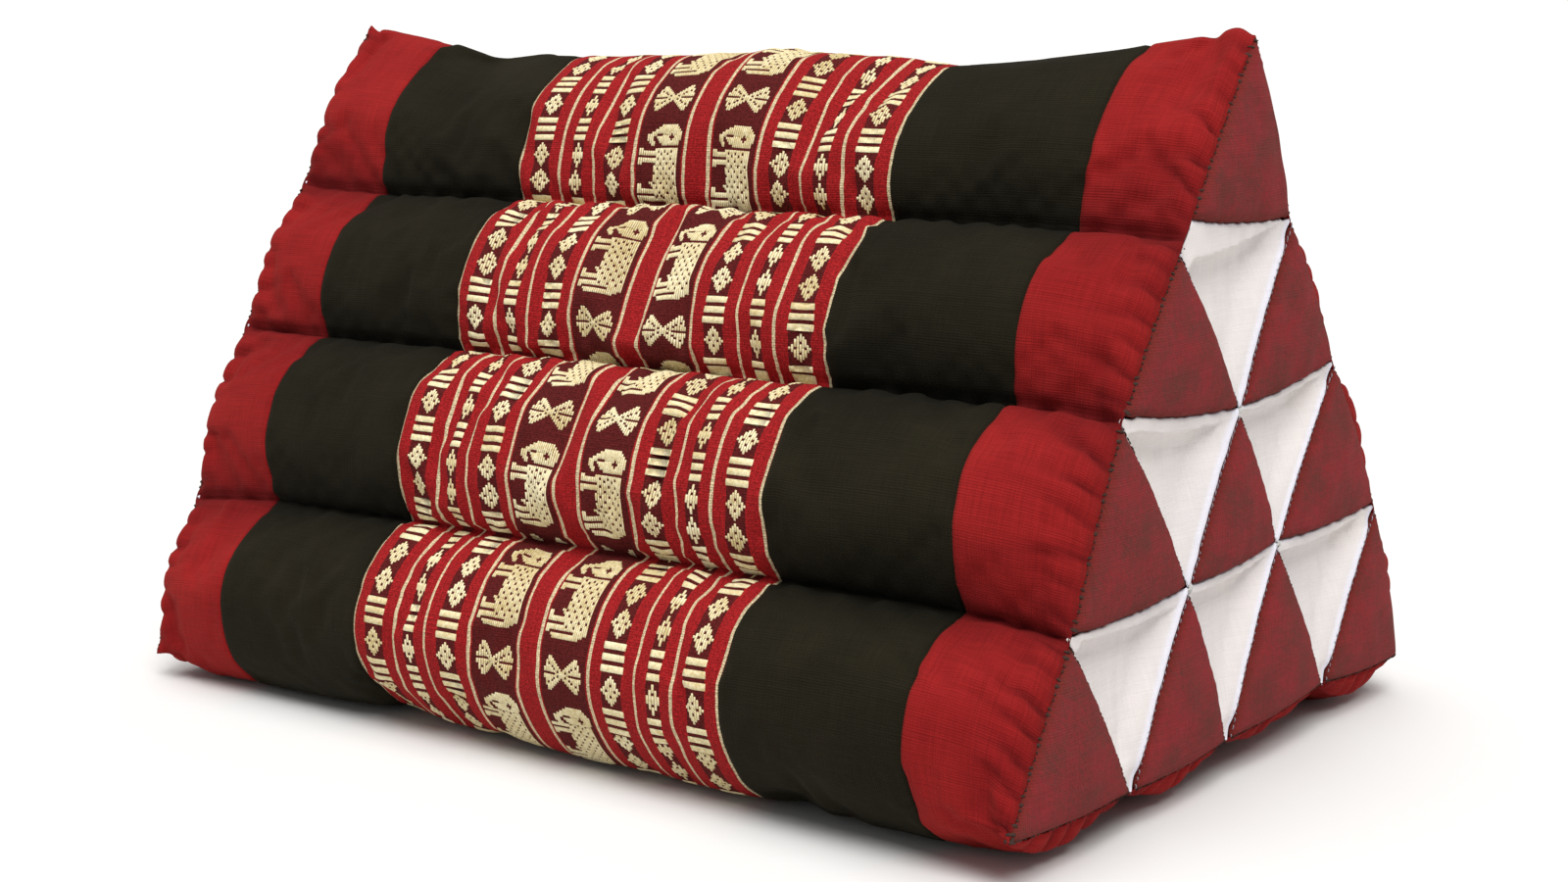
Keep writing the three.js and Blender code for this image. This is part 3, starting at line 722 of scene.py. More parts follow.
# Cream floats. The figures are a second set of thick cream threads that lie on the cloth wherever the chart
# has a mark, side by side with a thin dark gap. A row of marks is one pass of the loom. The bars between the
# diamonds are plain oblongs and have no chart.
ELEPHANT = """
...........#########....
.........############...
.......###############..
.....##################.
...#####....#####.#####.
...###..########...####.
...###...########.#####.
....###...############..
.....##.....##########..
........................
##......##############..
##########.###.###.###..
############.###.#####..
.........#############..
##########.###.###.###..
######################..
##.......###.###.###.#..
........##############..
........##.###.###.###..
........##############..
.........###.###.###.#..
........##############..
........##.###.###.###..
........##############..
......##.###.###.###.#..
##.....###############..
##......##.###.###.###..
######################..
############.###.###.#..
.........#############..
##########.###.###.###..
######################..
##.............#######..
...#################....
....##############......
"""
HALF_BOW = """
..##...........##..
..###.........###..
.#####.......#####.
.#.####.....####.#.
.###.###...###.###.
#####.###.###.#####
#######.###.#######
"""
BOW_WAIST = """
......#######......
"""
WIDE_DIAMOND = """
....#....
...###...
..#####..
..##.##..
.#######.
##.###.##
.#######.
..##.##..
..#####..
...###...
....#....
"""
NARROW_DIAMOND = """
..#..
..#..
.###.
.#.#.
#####
#####
#####
.#.#.
.###.
..#..
..#..
"""
# Where each figure begins in the repeat, and its height where it has no row to a mark, in rows.
REPEAT_ROWS = 60
ELEPHANT_ROW, BOW_ROW = 6, 47.2
BOW_ROWS = 12.6
DIAMOND_ROWS = (14.3, 26.3, 50.3)
BAR_ROWS = (2.6, 6.6, 10.6, 38.6, 42.6, 46.6)
BAR_HEIGHT = 2.5
# Where the measured front rolls have the top of an elephant, in mm of cloth from the roll's start, and the
# height of a row there. The cloth of the other rolls goes on from these.
FIGURE_TOPS = {0: (61.5, 1.15), 1: (22.0, 1.14), 2: (54.5, 1.15), 3: (6.0, 1.24)}
ROW_PITCH = 1.18
FIGURE_SKEW = 0.01
SKEW_MIDDLE = -16.6
# Each column of figures, in mm: its middle's distance from the width's, the width of a mark and of a bar.
BAND_MIDDLES = {"elephant": 21.6, "wide": (50.2, 97.4), "narrow": 73.8}
MARK_WIDTHS = {"elephant": 1.08, "bow": 1.2, "wide": 1.28, "narrow": 1.4}
BAR_WIDTHS = {"wide": 12.6, "narrow": 7.4}
LONGEST_RUN = 8
FLOAT_RISE, FLOAT_SINK = 0.3, 0.15
FLOAT_GAP = 0.04


def column_runs(marks):
    """The runs of marks down each column, none over LONGEST_RUN: column, first row, row after the last."""
    padded = np.pad(marks.T, ((0, 0), (1, 1))).astype(int)
    steps = np.diff(padded, axis=1)
    columns, starts = np.nonzero(steps == 1)
    ends = np.nonzero(steps == -1)[1]
    runs = []
    for column, start, end in zip(columns, starts, ends):
        parts = int(np.ceil((end - start) / LONGEST_RUN))
        cuts = np.linspace(start, end, parts + 1)
        runs += [(column, cuts[k], cuts[k + 1]) for k in range(parts)]
    return np.array(runs)


def chart_floats(chart, mark_width, first_row, middle, rows=None):
    """Floats of one figure in one repeat: x from and to in mm, first and last row of the repeat."""
    marks = np.array([[mark == "#" for mark in line] for line in chart.split()])
    runs = column_runs(marks)
    step = rows / len(marks) if rows else 1
    left = middle + (runs[:, 0] - marks.shape[1] / 2) * mark_width
    return np.stack([left, left + mark_width - FLOAT_GAP,
                     first_row + runs[:, 1] * step, first_row + runs[:, 2] * step], -1)


bow = HALF_BOW + BOW_WAIST.strip() + "\n" + "\n".join(HALF_BOW.split()[::-1])
elephant_floats, diamond_floats, bar_floats = {}, [], []
for name, side in (("left", -1), ("right", 1)):
    middle = FIGURED_MIDDLE + side * BAND_MIDDLES["elephant"]
    elephant_floats[name] = np.concatenate([
        chart_floats(ELEPHANT, MARK_WIDTHS["elephant"], ELEPHANT_ROW, middle),
        chart_floats(bow, MARK_WIDTHS["bow"], BOW_ROW, middle, BOW_ROWS)])
    for kind, chart, distance in (("wide", WIDE_DIAMOND, BAND_MIDDLES["wide"][0]),
                                  ("narrow", NARROW_DIAMOND, BAND_MIDDLES["narrow"]),
                                  ("wide", WIDE_DIAMOND, BAND_MIDDLES["wide"][1])):
        middle = FIGURED_MIDDLE + side * distance
        for first_row in DIAMOND_ROWS:
            diamond_floats.append(chart_floats(chart, MARK_WIDTHS[kind], first_row, middle))
        half = BAR_WIDTHS[kind] / 2
        bar_floats.append(np.array([(middle - half, middle + half, row, row + BAR_HEIGHT)
                                    for row in BAR_ROWS]))

figure_tops = dict(FIGURE_TOPS)
for index in (4, 5, 6, 7):
    top, pitch = figure_tops[index - 1]
    hidden = 0 if index in LONG_EDGES else SWALLOWED
    figure_tops[index] = ((top - roll_widths[index - 1] - hidden) % (REPEAT_ROWS * ROW_PITCH), ROW_PITCH)
for index in (11, 10, 9, 8):
    following = (index + 1) % len(ROLLS)
    hidden = 0 if following in LONG_EDGES else SWALLOWED
    top = figure_tops[following][0] + roll_widths[index] + hidden
    figure_tops[index] = (top % (REPEAT_ROWS * ROW_PITCH), ROW_PITCH)


def on_figured_cloth(x, column, height):
    """Points at places x and fractional columns of the figured grid, at a height over the cloth."""
    normal = grid_normals(figured_grid)
    row = np.clip((x - figured_x[0]) / (figured_x[1] - figured_x[0]), 0, len(figured_x) - 1 - 1e-6)
    first_row, first_column = row.astype(int), np.floor(column).astype(int)
    down, over = (row - first_row)[:, None], (column - first_column)[:, None]
    total = 0
    for step, share in ((0, 1 - down), (1, down)):
        for side, part in ((0, 1 - over), (1, over)):
            near = (first_row + step, (first_column + side) % figured_grid.shape[1])
            total = total + share * part * (figured_grid[near] + normal[near] * height[:, None])
    return total


def lay_floats(floats):
    """Every float on every roll, cut off at the channels, as x and fractional columns from and to."""
    laid = []
    for position, index in enumerate(ROLL_ORDER):
        top, pitch = figure_tops[index]
        repeat = REPEAT_ROWS * pitch
        width = roll_widths[index]
        for turn in range(-2, int(width / repeat) + 2):
            origin = top - ELEPHANT_ROW * pitch + turn * repeat
            skew = FIGURE_SKEW * ((floats[:, 0] + floats[:, 1]) / 2 - SKEW_MIDDLE)
            starts = origin + floats[:, 2] * pitch + skew
            ends = origin + floats[:, 3] * pitch + skew
            starts, ends = np.maximum(starts, 0), np.minimum(ends, width)
            keep = ends - starts > pitch / 2
            columns = (position + np.stack([starts, ends], -1)[keep] / width) * ROLL_STEPS
            laid.append(np.concatenate([floats[keep, :2], columns], 1))
    return np.concatenate(laid)


FLOAT_RINGS = (0.0, 0.08, 0.5, 0.92, 1.0)
FLOAT_SLOPE, FLOAT_SLOPE_SHARE = 0.25, 0.4
# Points across the top of a bar, so that it follows the ripples of the cloth; one thread needs only two.
BAR_TOP_POINTS, FLOAT_TOP_POINTS = 7, 2


def float_piece(name, floats, top_points):
    """Cream floats as one mesh: each is a closed low strip whose edges are sunk in the cloth, with sloping
    sides, and it comes down to the cloth at both ends."""
    laid = lay_floats(floats)
    count, rings = len(laid), len(FLOAT_RINGS)
    middle_x, half_x = (laid[:, 0] + laid[:, 1]) / 2, (laid[:, 1] - laid[:, 0]) / 2
    slope = np.minimum(FLOAT_SLOPE, half_x * FLOAT_SLOPE_SHARE)
    section = [(-1, False), *[(share, True) for share in np.linspace(-1, 1, top_points)], (1, False)]
    step = len(section)
    points = np.zeros((count, rings, step, 3))
    for ring, along in enumerate(FLOAT_RINGS):
        rise = FLOAT_RISE if 0 < ring < rings - 1 else 0.0
        columns = laid[:, 2] + (laid[:, 3] - laid[:, 2]) * along
        for corner, (side, top) in enumerate(section):
            x = middle_x + side * (half_x - slope * top)
            height = np.full(count, rise if top else -FLOAT_SINK)
            points[:, ring, corner] = on_figured_cloth(x, columns, height)
    ring_faces = []
    for ring in range(rings - 1):
        for corner in range(step):
            a, b = ring * step + corner, ring * step + (corner + 1) % step
            ring_faces.append((a, a + step, b + step, b))
    last = (rings - 1) * step
    end_faces = [range(step), range(last + step - 1, last - 1, -1)]
    base = np.arange(count)[:, None, None] * rings * step
    faces = [(base + np.array(kind)[None]).reshape(-1, len(kind[0])).tolist()
             for kind in (ring_faces, end_faces)]
    return new_piece(name, points, faces[0] + faces[1])


cream_cotton = new_material("cream cotton soft twisted floats")
cream_places = add_node(cream_cotton, "ShaderNodeTexCoord").outputs["Object"]
cream_noise = add_node(cream_cotton, "ShaderNodeTexNoise",
                       {"Vector": cream_places, "Scale": 700.0, "Detail": 2.0})
cream_cloud = add_node(cream_cotton, "ShaderNodeTexNoise",
                       {"Vector": cream_places, "Scale": 30.0, "Detail": 2.0})
cream_share = add_node(cream_cotton, "ShaderNodeMath",
                       {0: cream_noise.outputs["Fac"], 1: cream_cloud.outputs["Fac"]},
                       operation="ADD").outputs[0]
cream_share = add_node(cream_cotton, "ShaderNodeMapRange",
                       {"Value": cream_share, "From Min": 0.75, "From Max": 1.25}).outputs[0]
cream_tone = add_node(cream_cotton, "ShaderNodeMix",
                      {0: cream_share, 6: colour("#C9B47C"), 7: colour("#F0E6BE")},
                      data_type="RGBA").outputs[2]
cream_bump = add_node(cream_cotton, "ShaderNodeBump",
                      {"Height": cream_noise.outputs["Fac"], "Strength": 0.4, "Distance": 0.0003})
cream_shader = add_node(cream_cotton, "ShaderNodeBsdfPrincipled", {
    "Base Color": cream_tone, "Roughness": 0.75, "Normal": cream_bump.outputs["Normal"],
    "Specular IOR Level": 0.3, "Sheen Weight": 0.1, "Sheen Roughness": 0.4})
add_node(cream_cotton, "ShaderNodeOutputMaterial", {"Surface": cream_shader.outputs["BSDF"]})
for piece_name, floats, top_points in (
        ("elephants_and_bows_left", elephant_floats["left"], FLOAT_TOP_POINTS),
        ("elephants_and_bows_right", elephant_floats["right"], FLOAT_TOP_POINTS),
        ("diamonds", np.concatenate(diamond_floats), FLOAT_TOP_POINTS),
        ("bars", np.concatenate(bar_floats), BAR_TOP_POINTS)):
    float_mesh = float_piece(piece_name, floats, top_points)
    float_mesh.data.materials.append(cream_cotton)
    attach(float_mesh, "root")

# End caps. Each tube's end is closed by a triangle of shot cotton, dark red crossed by brown, that the
# stuffing crowns outwards. Its rim is turned under and sewn to the cover or to the gussets beside it.
CAP_STEPS = 50
CAP_BOW = 2.0
SIDE_WOBBLE, SIDE_WOBBLE_LENGTHS, SIDE_WOBBLE_FADE = 0.4, (5.0, 13.0), 0.05
CAP_CROWN = 4.2
CAP_CROWN_FULLNESS = 0.6
CAP_UNEVEN, CAP_UNEVEN_LENGTHS = 0.4, (14, 40)
# The rim sinks and rolls up over its width; CAP_RIM_SHADE is the width over which it is painted with shade.
CAP_RIM_SINK, CAP_RIM_RISE, CAP_RIM_WIDTH, CAP_RIM_SHADE = 0.5, 2.1, 3.0, 3.5
CAP_BACK = 2.4
# The corners of the caps don't quite meet: each stops this far short of the tube corner that it points to,
# and one seam at the right end has come well apart.
CORNER_GAP = 2.0
WIDE_CORNER_GAPS = {("right", 1, 0): 8.0}
ENDS = {"left": -HALF_LENGTH, "right": HALF_LENGTH}


def outline_index(first, second):
    """The roll that runs from one corner to the other, or None where no roll does."""
    for index, corner in enumerate(OUTLINE):
        if corner == first and OUTLINE[(index + 1) % len(OUTLINE)] == second:
            return index
    return None


def corner_gap(end_name, key):
    """How far the caps stop short of a tube corner; they reach the three corners of the whole end."""
    if key in ((0, 0), (TUBE_ROWS, 0), (TUBE_ROWS, TUBE_ROWS)):
        return 0.0
    return WIDE_CORNER_GAPS.get((end_name, *key), CORNER_GAP)


def smooth_step(value, first, last):
    """0 below first and 1 above last, easing between."""
    share = np.clip((value - first) / (last - first), 0, 1)
    return share * share * (3 - 2 * share)


def cap_sides(end_name, keys):
    """A cap's three corners, and its sides as functions of the share along each. A side on the outline is the
    cover's end seam, shortened by the corner gaps; any other bows towards the gusset beside it."""
    end = np.array([ENDS[end_name]])
    corners = [tube_corner(*key, end)[0] for key in keys]
    middle = sum(corners) / 3
    gaps = [corner_gap(end_name, key) for key in keys]
    rolls = [outline_index(keys[k], keys[(k + 1) % 3]) for k in range(3)]
    shares = [(gaps[k] / TUBE_SIDE, 1 - gaps[(k + 1) % 3] / TUBE_SIDE) for k in range(3)]

    def short_corner(k):
        if rolls[k] is not None:
            return roll_section(rolls[k], end, np.array([shares[k][0]]))[0, 0]
        if rolls[k - 1] is not None:
            return roll_section(rolls[k - 1], end, np.array([shares[k - 1][1]]))[0, 0]
        return corners[k] + unit(middle - corners[k]) * gaps[k]

    short = [short_corner(k) for k in range(3)]

    def side(along, k):
        if rolls[k] is not None:
            return roll_section(rolls[k], end, shares[k][0] + (shares[k][1] - shares[k][0]) * along)[0]
        start, stop = short[k], short[(k + 1) % 3]
        chord = unit(stop - start)
        bow_way = np.array([chord[1], -chord[0]]) * CAP_BOW
        seed = int(1000 + middle[0] + middle[1]) + k
        wobble = wave_noise(along * TUBE_SIDE, 0 * along, SIDE_WOBBLE_LENGTHS, 6, seed)
        fade = smooth_step(np.minimum(along, 1 - along), 0, SIDE_WOBBLE_FADE)
        wobble = (wobble * SIDE_WOBBLE / CAP_BOW * fade)[:, None]
        along = along[:, None]
        return start + (stop - start) * along + bow_way * (4 * along * (1 - along) + wobble)

    return short, [lambda along, k=k: side(along, k) for k in range(3)]


def triangle_grid(steps):
    """Shares of the three corners at each point of an even three-sided grid, and its faces."""
    number = {}
    for i in range(steps + 1):
        for j in range(steps - i + 1):
            number[i, j] = len(number)
    shares = np.array([(i, j, steps - i - j) for i, j in number]) / steps
    faces = [(number[i + 1, j], number[i, j + 1], number[i, j]) for i, j in number if i + j < steps]
    faces += [(number[i + 1, j], number[i + 1, j + 1], number[i, j + 1])
              for i, j in number if i + j < steps - 1]
    return shares, np.array(faces)


def sided_place(shares, corners, sides):
    """Points inside three curved sides: the place on the flat triangle, moved by each side's bow, which
    fades with the cube of the share that the side's two corners have."""
    flat = shares @ np.array(corners)
    for step in range(3):
        after = (step + 1) % 3
        pair = shares[:, step] + shares[:, after]
        along = shares[:, after] / np.maximum(pair, 1e-9)
        straight = corners[step] + (corners[after] - corners[step]) * along[:, None]
        flat = flat + (sides[step](along) - straight) * pair[:, None] ** 3
    return flat


def end_cloth(name, shares, faces, place, front, back, end, clear):
    """A closed piece of end cloth whose face and back meet at the rim. front and back are how far each point
    stands out past the end seam, and clear is its value "crest"."""
    side = math.copysign(1, end)
    rim = shares.min(1) < 1e-9
    behind = np.where(rim, np.arange(len(shares)), np.cumsum(~rim) - 1 + len(shares))
    points = np.concatenate([np.column_stack([end + side * front, place]),
                             np.column_stack([end + side * back, place])[~rim]])
    all_faces = np.concatenate([faces, behind[faces][:, ::-1]])
    if side < 0:
        all_faces = all_faces[:, ::-1]
    piece = new_piece(name, points, all_faces.tolist())
    mark_cloth(piece, np.concatenate([place, place[~rim]])[all_faces.ravel()],
               np.concatenate([clear, clear[~rim]]))
    return piece


cap_cotton = new_material("shot cotton plain woven dark red and brown")
cap_places = cloth_places(cap_cotton)
cap_turned = add_node(cap_cotton, "ShaderNodeMapping",
                      {"Vector": cap_places, "Rotation": (0, 0, 0.9)}).outputs[0]
cap_stretched = add_node(cap_cotton, "ShaderNodeVectorMath", {0: cap_turned, 1: (0.28, 0.7, 1.0)},
                         operation="MULTIPLY").outputs[0]
cap_speckle = add_node(cap_cotton, "ShaderNodeTexNoise",
                       {"Vector": cap_stretched, "Scale": 1.0, "Detail": 4.0, "Roughness": 0.6})
cap_cloud = add_node(cap_cotton, "ShaderNodeTexNoise", {"Vector": cap_places, "Scale": 0.045, "Detail": 2.0})
cap_sum = add_node(cap_cotton, "ShaderNodeMath",
                   {0: cap_speckle.outputs["Fac"], 1: cap_cloud.outputs["Fac"]}, operation="ADD").outputs[0]
cap_share = add_node(cap_cotton, "ShaderNodeMapRange",
                     {"Value": cap_sum, "From Min": 0.78, "From Max": 1.2}).outputs[0]
cap_tone = add_node(cap_cotton, "ShaderNodeMix", {0: cap_share, 6: colour("#66312D"), 7: colour("#862B2F")},
                    data_type="RGBA").outputs[2]
# Painted shade: towards its rim, where it turns under into the seam, the cap darkens to a deeper red.
cap_rim = add_node(cap_cotton, "ShaderNodeAttribute", attribute_name="crest").outputs["Fac"]
cap_tone = add_node(cap_cotton, "ShaderNodeMix", {0: cap_rim, 6: colour("#66251F"), 7: cap_tone},
                    data_type="RGBA").outputs[2]
weave_cotton(cap_cotton, cap_places, cap_tone, 0.9, 0.08, "#B07A6C", 0.35, 0.08)
cap_shares, cap_faces = triangle_grid(CAP_STEPS)
cap_crown = np.prod(cap_shares, 1) * 27  # 1 where all three shares are a third
cap_rim_distance = cap_shares.min(1) * ROW_HEIGHT
cap_rolled = np.sin(np.minimum(cap_rim_distance / CAP_RIM_WIDTH, 1) * np.pi / 2)
for end_name, end in ENDS.items():
    for row in range(TUBE_ROWS):
        for column in range(row + 1):
            short, sides = cap_sides(end_name, [(row, column), (row + 1, column), (row + 1, column + 1)])
            place = sided_place(cap_shares, short, sides)
            uneven = wave_noise(place[:, 0], place[:, 1], CAP_UNEVEN_LENGTHS, 6, 200 + row * 10 + column)
            front = (-CAP_RIM_SINK + CAP_RIM_RISE * cap_rolled + CAP_CROWN * cap_crown ** CAP_CROWN_FULLNESS
                     + CAP_UNEVEN * uneven * cap_rolled)
            # The value "crest" falls to 0 at the rim, for the painted shade there.
            back, clear = np.full(len(place), -CAP_BACK), np.minimum(cap_rim_distance / CAP_RIM_SHADE, 1)
            cap = end_cloth(f"cap_{end_name}_{row + 1}_{column + 1}_cloth", cap_shares, cap_faces,
                            place, front, back, end, clear)
            cap.data.materials.append(cap_cotton)
            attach(cap, "root")
            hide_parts(f"cap_{end_name}_{row + 1}_{column + 1}")

# Gussets. Six hanging triangles of white cotton are let in between the tubes at each end. Under the tube
# above the cloth stands out as a loose lip, falls in behind a crease, and comes slowly out to its tip. As
# seen from outside, its right side is a raised hem and its left side drops in behind the cap.
GUSSET_STEPS = 72
LIP_LEAN, LIP_SAG, LIP_EDGE, LIP_EDGE_ABOVE = 0.4, 1.2, 0.7, 0.3
LIP_FALL_SHARE, LIP_FALL_REACH = 0.75, 10
GUSSET_RECESS, GUSSET_TIP_RECESS, GUSSET_HOLLOW = 11.0, 1.5, 1.4
# The rim and the hem are painted with a lavender shade, over GUSSET_RIM_SHADE and HEM_SHADE.
GUSSET_RIM, GUSSET_RIM_SINK, GUSSET_RIM_RISE, GUSSET_RIM_SHADE = 2.2, 0.7, 0.9, 2
GUSSET_FOLDS, GUSSET_FOLD_STRETCH, GUSSET_FOLD_LENGTHS = 0.45, (2.4, 0.5), (16, 36)
GUSSET_UNEVEN, GUSSET_UNEVEN_LENGTHS = 0.2, (9, 20)
HEM_WIDTH, HEM_FLAT, HEM_FALL, HEM_ROLL, HEM_FULLNESS, HEM_SHADE = 4.5, 0.7, 14.0, 1.1, 0.6, (3.5, 6.5)
LEFT_HIGH, LEFT_RIM, LEFT_FALL = 0.15, 0.8, 2.4
# At the outline, where a gusset's corner lies open, it is drawn in from the corner and stands less deep.
OPEN_CORNER_IN, OPEN_CORNER_DROP, OPEN_CORNER_REACH = 3.4, 0.8, 7.0
OPEN_CORNER_FLAT, OPEN_CORNER_DEEP = 2.0, 15.0
OPEN_CORNER_PULL, OPEN_CORNER_PULL_REACH = 3.0, 5.5
GUSSET_CLOTH = 1.2
USUAL_LIP = (6.5, 2.0)
# The height of the lip at its left and its right end as seen from outside.
LIPS = {("right", 1, 1): (16.0, 0.5), ("right", 2, 1): (8.0, 4.0), ("right", 2, 2): (2.5, 5.0),
        ("right", 3, 1): (4.5, 5.5), ("right", 3, 2): (4.5, 3.0), ("right", 3, 3): (6.0, 3.0)}
# Its first colour, a lavender white, is painted shade on the hem and along the rim.
white_cotton = plain_cotton("white cotton plain woven", "#E6E4EE", "#E0DAD9", "#E8E1DD", "#FFFFFF",
                            sheen=0.05, strength=0.15, streaks=0.03)
gusset_shares, gusset_faces = triangle_grid(GUSSET_STEPS)


def gusset_sides(end_name, row, column):
    """A gusset's corners and sides. Each side runs from its corner to the shortened corner of the cap beside
    it, along that cap's side the other way, and on to the next corner."""
    end = np.array([ENDS[end_name]])
    keys = [(row + 1, column + 1), (row, column + 1), (row, column)]
    corners = [tube_corner(*key, end)[0] for key in keys]
    middle = sum(corners) / 3
    corners = [corner + (key in OUTLINE) * OPEN_CORNER_IN * unit(middle - corner)
               for corner, key in zip(corners, keys)]
    neighbours = [([(row, column + 1), (row + 1, column + 1), (row + 1, column + 2)], 0),
                  ([(row - 1, column), (row, column), (row, column + 1)], 1),
                  ([(row, column), (row + 1, column), (row + 1, column + 1)], 2)]
    sides = []
    for k, (cap_keys, cap_side) in enumerate(neighbours):
        cap_line = cap_sides(end_name, cap_keys)[1][cap_side](np.linspace(1, 0, 81))
        line = np.concatenate([corners[k][None], cap_line, corners[(k + 1) % 3][None]])
        length = np.concatenate([[0], np.cumsum(np.linalg.norm(np.diff(line, axis=0), axis=1))])
        sides.append(lambda along, line=line, length=length: at_measure(line, length, along * length[-1]))
    return corners, sides


for end_name, end in ENDS.items():
    for row in range(1, TUBE_ROWS):
        for column in range(row):
            corners, sides = gusset_sides(end_name, row, column)
            place = sided_place(gusset_shares, corners, sides)
            tip_share, back_share, front_share = gusset_shares.T
            left_share, right_share = (front_share, back_share) if end > 0 else (back_share, front_share)
            below_top = tip_share * ROW_HEIGHT
            from_right, from_left = left_share * ROW_HEIGHT, right_share * ROW_HEIGHT
            across = left_share / np.maximum(left_share + right_share, 1e-9)
            lip_left, lip_right = LIPS.get((end_name, row, column + 1), USUAL_LIP)
            lip = lip_right + (lip_left - lip_right) * across + LIP_SAG * np.sin(np.pi * across)
            sharp = smooth_step(below_top, lip - LIP_EDGE * LIP_EDGE_ABOVE, lip + LIP_EDGE)
            slow = smooth_step(below_top, lip, lip + LIP_FALL_REACH)
            fallen = LIP_FALL_SHARE * sharp + (1 - LIP_FALL_SHARE) * slow
            hollow = (1 - tip_share) ** GUSSET_HOLLOW
            deep = GUSSET_TIP_RECESS + (GUSSET_RECESS - GUSSET_TIP_RECESS) * hollow
            depth = LIP_LEAN * np.clip(below_top / np.maximum(lip, 1), 0, 1) + (deep - LIP_LEAN) * fallen
            hem = smooth_step(from_right, HEM_WIDTH * HEM_FLAT, HEM_WIDTH + HEM_FALL)
            drop = LEFT_HIGH + (1 - LEFT_HIGH) * smooth_step(from_left, LEFT_RIM, LEFT_FALL)
            depth = depth * hem * drop
            depth = depth - HEM_ROLL * np.sin(np.pi * np.clip(from_right / HEM_WIDTH, 0, 1)) ** HEM_FULLNESS
            middle = sum(corners) / 3
            for corner, key in zip(corners, [(row + 1, column + 1), (row, column + 1), (row, column)]):
                if key in OUTLINE:
                    away = np.linalg.norm(place - corner, axis=1)
                    pull = OPEN_CORNER_PULL * bump(away, OPEN_CORNER_PULL_REACH)
                    place = place + unit(middle - corner) * pull[:, None]
                    depth = depth * smooth_step(away, OPEN_CORNER_FLAT, OPEN_CORNER_DEEP)
                    depth = depth + OPEN_CORNER_DROP * bump(away, OPEN_CORNER_REACH)
            rim_distance = gusset_shares.min(1) * ROW_HEIGHT
            rim = np.minimum(rim_distance / GUSSET_RIM, 1)
            stretched = place * GUSSET_FOLD_STRETCH
            folds = wave_noise(stretched[:, 0], stretched[:, 1], GUSSET_FOLD_LENGTHS, 5,
                               300 + row * 10 + column)
            uneven = wave_noise(place[:, 0], place[:, 1], GUSSET_UNEVEN_LENGTHS, 5, 400 + row * 10 + column)
            front = (-GUSSET_RIM_SINK + GUSSET_RIM_RISE * np.sin(rim * np.pi / 2) - depth
                     + (GUSSET_FOLDS * folds + GUSSET_UNEVEN * uneven) * rim * hem)
            # The hem and the rim take the lavender colour: painted shade.
            clear = smooth_step(from_right, *HEM_SHADE) * np.minimum(rim_distance / GUSSET_RIM_SHADE, 1)
            gusset = end_cloth(f"gusset_{end_name}_{row}_{column + 1}_cloth", gusset_shares, gusset_faces,
                               place, front, front - GUSSET_CLOTH * rim, end, clear)
            gusset.data.materials.append(white_cotton)
            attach(gusset, "root")
            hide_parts(f"gusset_{end_name}_{row}_{column + 1}")

# Hand stitching. Dark brown thread overcasts the caps to the cover, with a bigger knot every few stitches.
# Grey thread whips the gussets' hems, dark thread their other slanting sides, and white knots tie the inner
# corners.
STITCH_RINGS, STITCH_SIDES, STITCH_TAPER = 5, 5, (0.08, 0.92)
CAP_STITCHES_PER_KNOT = 4
HEM_STITCH_PITCH, DARK_STITCH_PITCH = 3.3, 2.6
TUCK_SHARE = 0.12
LINE_POINTS = 121
WAY_REACH = 0.5
# Overcast stitches, plain ones and then knots: how far each goes in over the cap, out over the cover and
# back behind the end seam, how high it rises and how thick it is.
OVERCAST = {
    "in": (1.6, 2.6), "out": (0.5, 0.0), "back": (1.6, 2.4), "rise": (0.6, 1.0), "radius": (0.5, 0.9),
}
OVERCAST_HEIGHT, OVERCAST_SCATTER, OVERCAST_SLANT = 1.0, 0.5, (-0.9, 0.5)
# Stitches along the gussets: the part of each side that is sewn, then each kind's reach, heights, thread.
SEWN_PART = (0.04, 0.96)
GUSSET_SCATTER, GUSSET_SLANT = 0.4, (0.4, 1.0)
HEM_REACH, HEM_PAST, HEM_HEIGHTS, HEM_RISE, HEM_RADIUS = (1.6, 2.6), 0.2, (1.5, 0.5), 0.35, 0.3
DARK_IN, DARK_OUT, DARK_HEIGHTS, DARK_RISE, DARK_RADIUS = 0.1, 0.9, (0.2, 0.9), 0.2, 0.375
KNOT_THREADS, KNOT_SPREAD, KNOT_HEIGHT, KNOT_RISE, KNOT_RADIUS = 5, (1.4, 2.6), 0.3, 1.2, 0.625


def stitch_points(starts, stops, outwards, rise, radius):
    """Many stitches at once, as rings of points: each is a tapered thread on an arc from its start to its
    stop that rises outwards by a half wave."""
    along = np.linspace(0, 1, STITCH_RINGS)[None, :, None]
    path = starts[:, None] + (stops - starts)[:, None] * along + outwards[:, None] * (
        np.broadcast_to(rise, len(starts))[:, None, None] * np.sin(np.pi * along))
    across = unit(np.cross(unit(stops - starts), outwards))
    turn = np.arange(STITCH_SIDES) * 2 * np.pi / STITCH_SIDES
    taper = np.sqrt(np.sin(np.pi * np.linspace(*STITCH_TAPER, STITCH_RINGS)))[None, :, None, None]
    radius = np.broadcast_to(radius, len(starts))[:, None, None, None]
    ring = (across[:, None, None] * np.cos(turn)[None, None, :, None]
            + outwards[:, None, None] * np.sin(turn)[None, None, :, None])
    return path[:, :, None] + ring * taper * radius


def stitch_faces(count):
    """Faces of that many closed stitches."""
    step = STITCH_SIDES
    one = [(r * step + k, (r + 1) * step + k, (r + 1) * step + (k + 1) % step, r * step + (k + 1) % step)
           for r in range(STITCH_RINGS - 1) for k in range(step)]
    last = (STITCH_RINGS - 1) * step
    ends = [tuple(range(step)), tuple(range(last + step - 1, last - 1, -1))]
    base = np.arange(count) * STITCH_RINGS * step
    return [tuple(b + v for v in face) for b in base for face in one + ends]


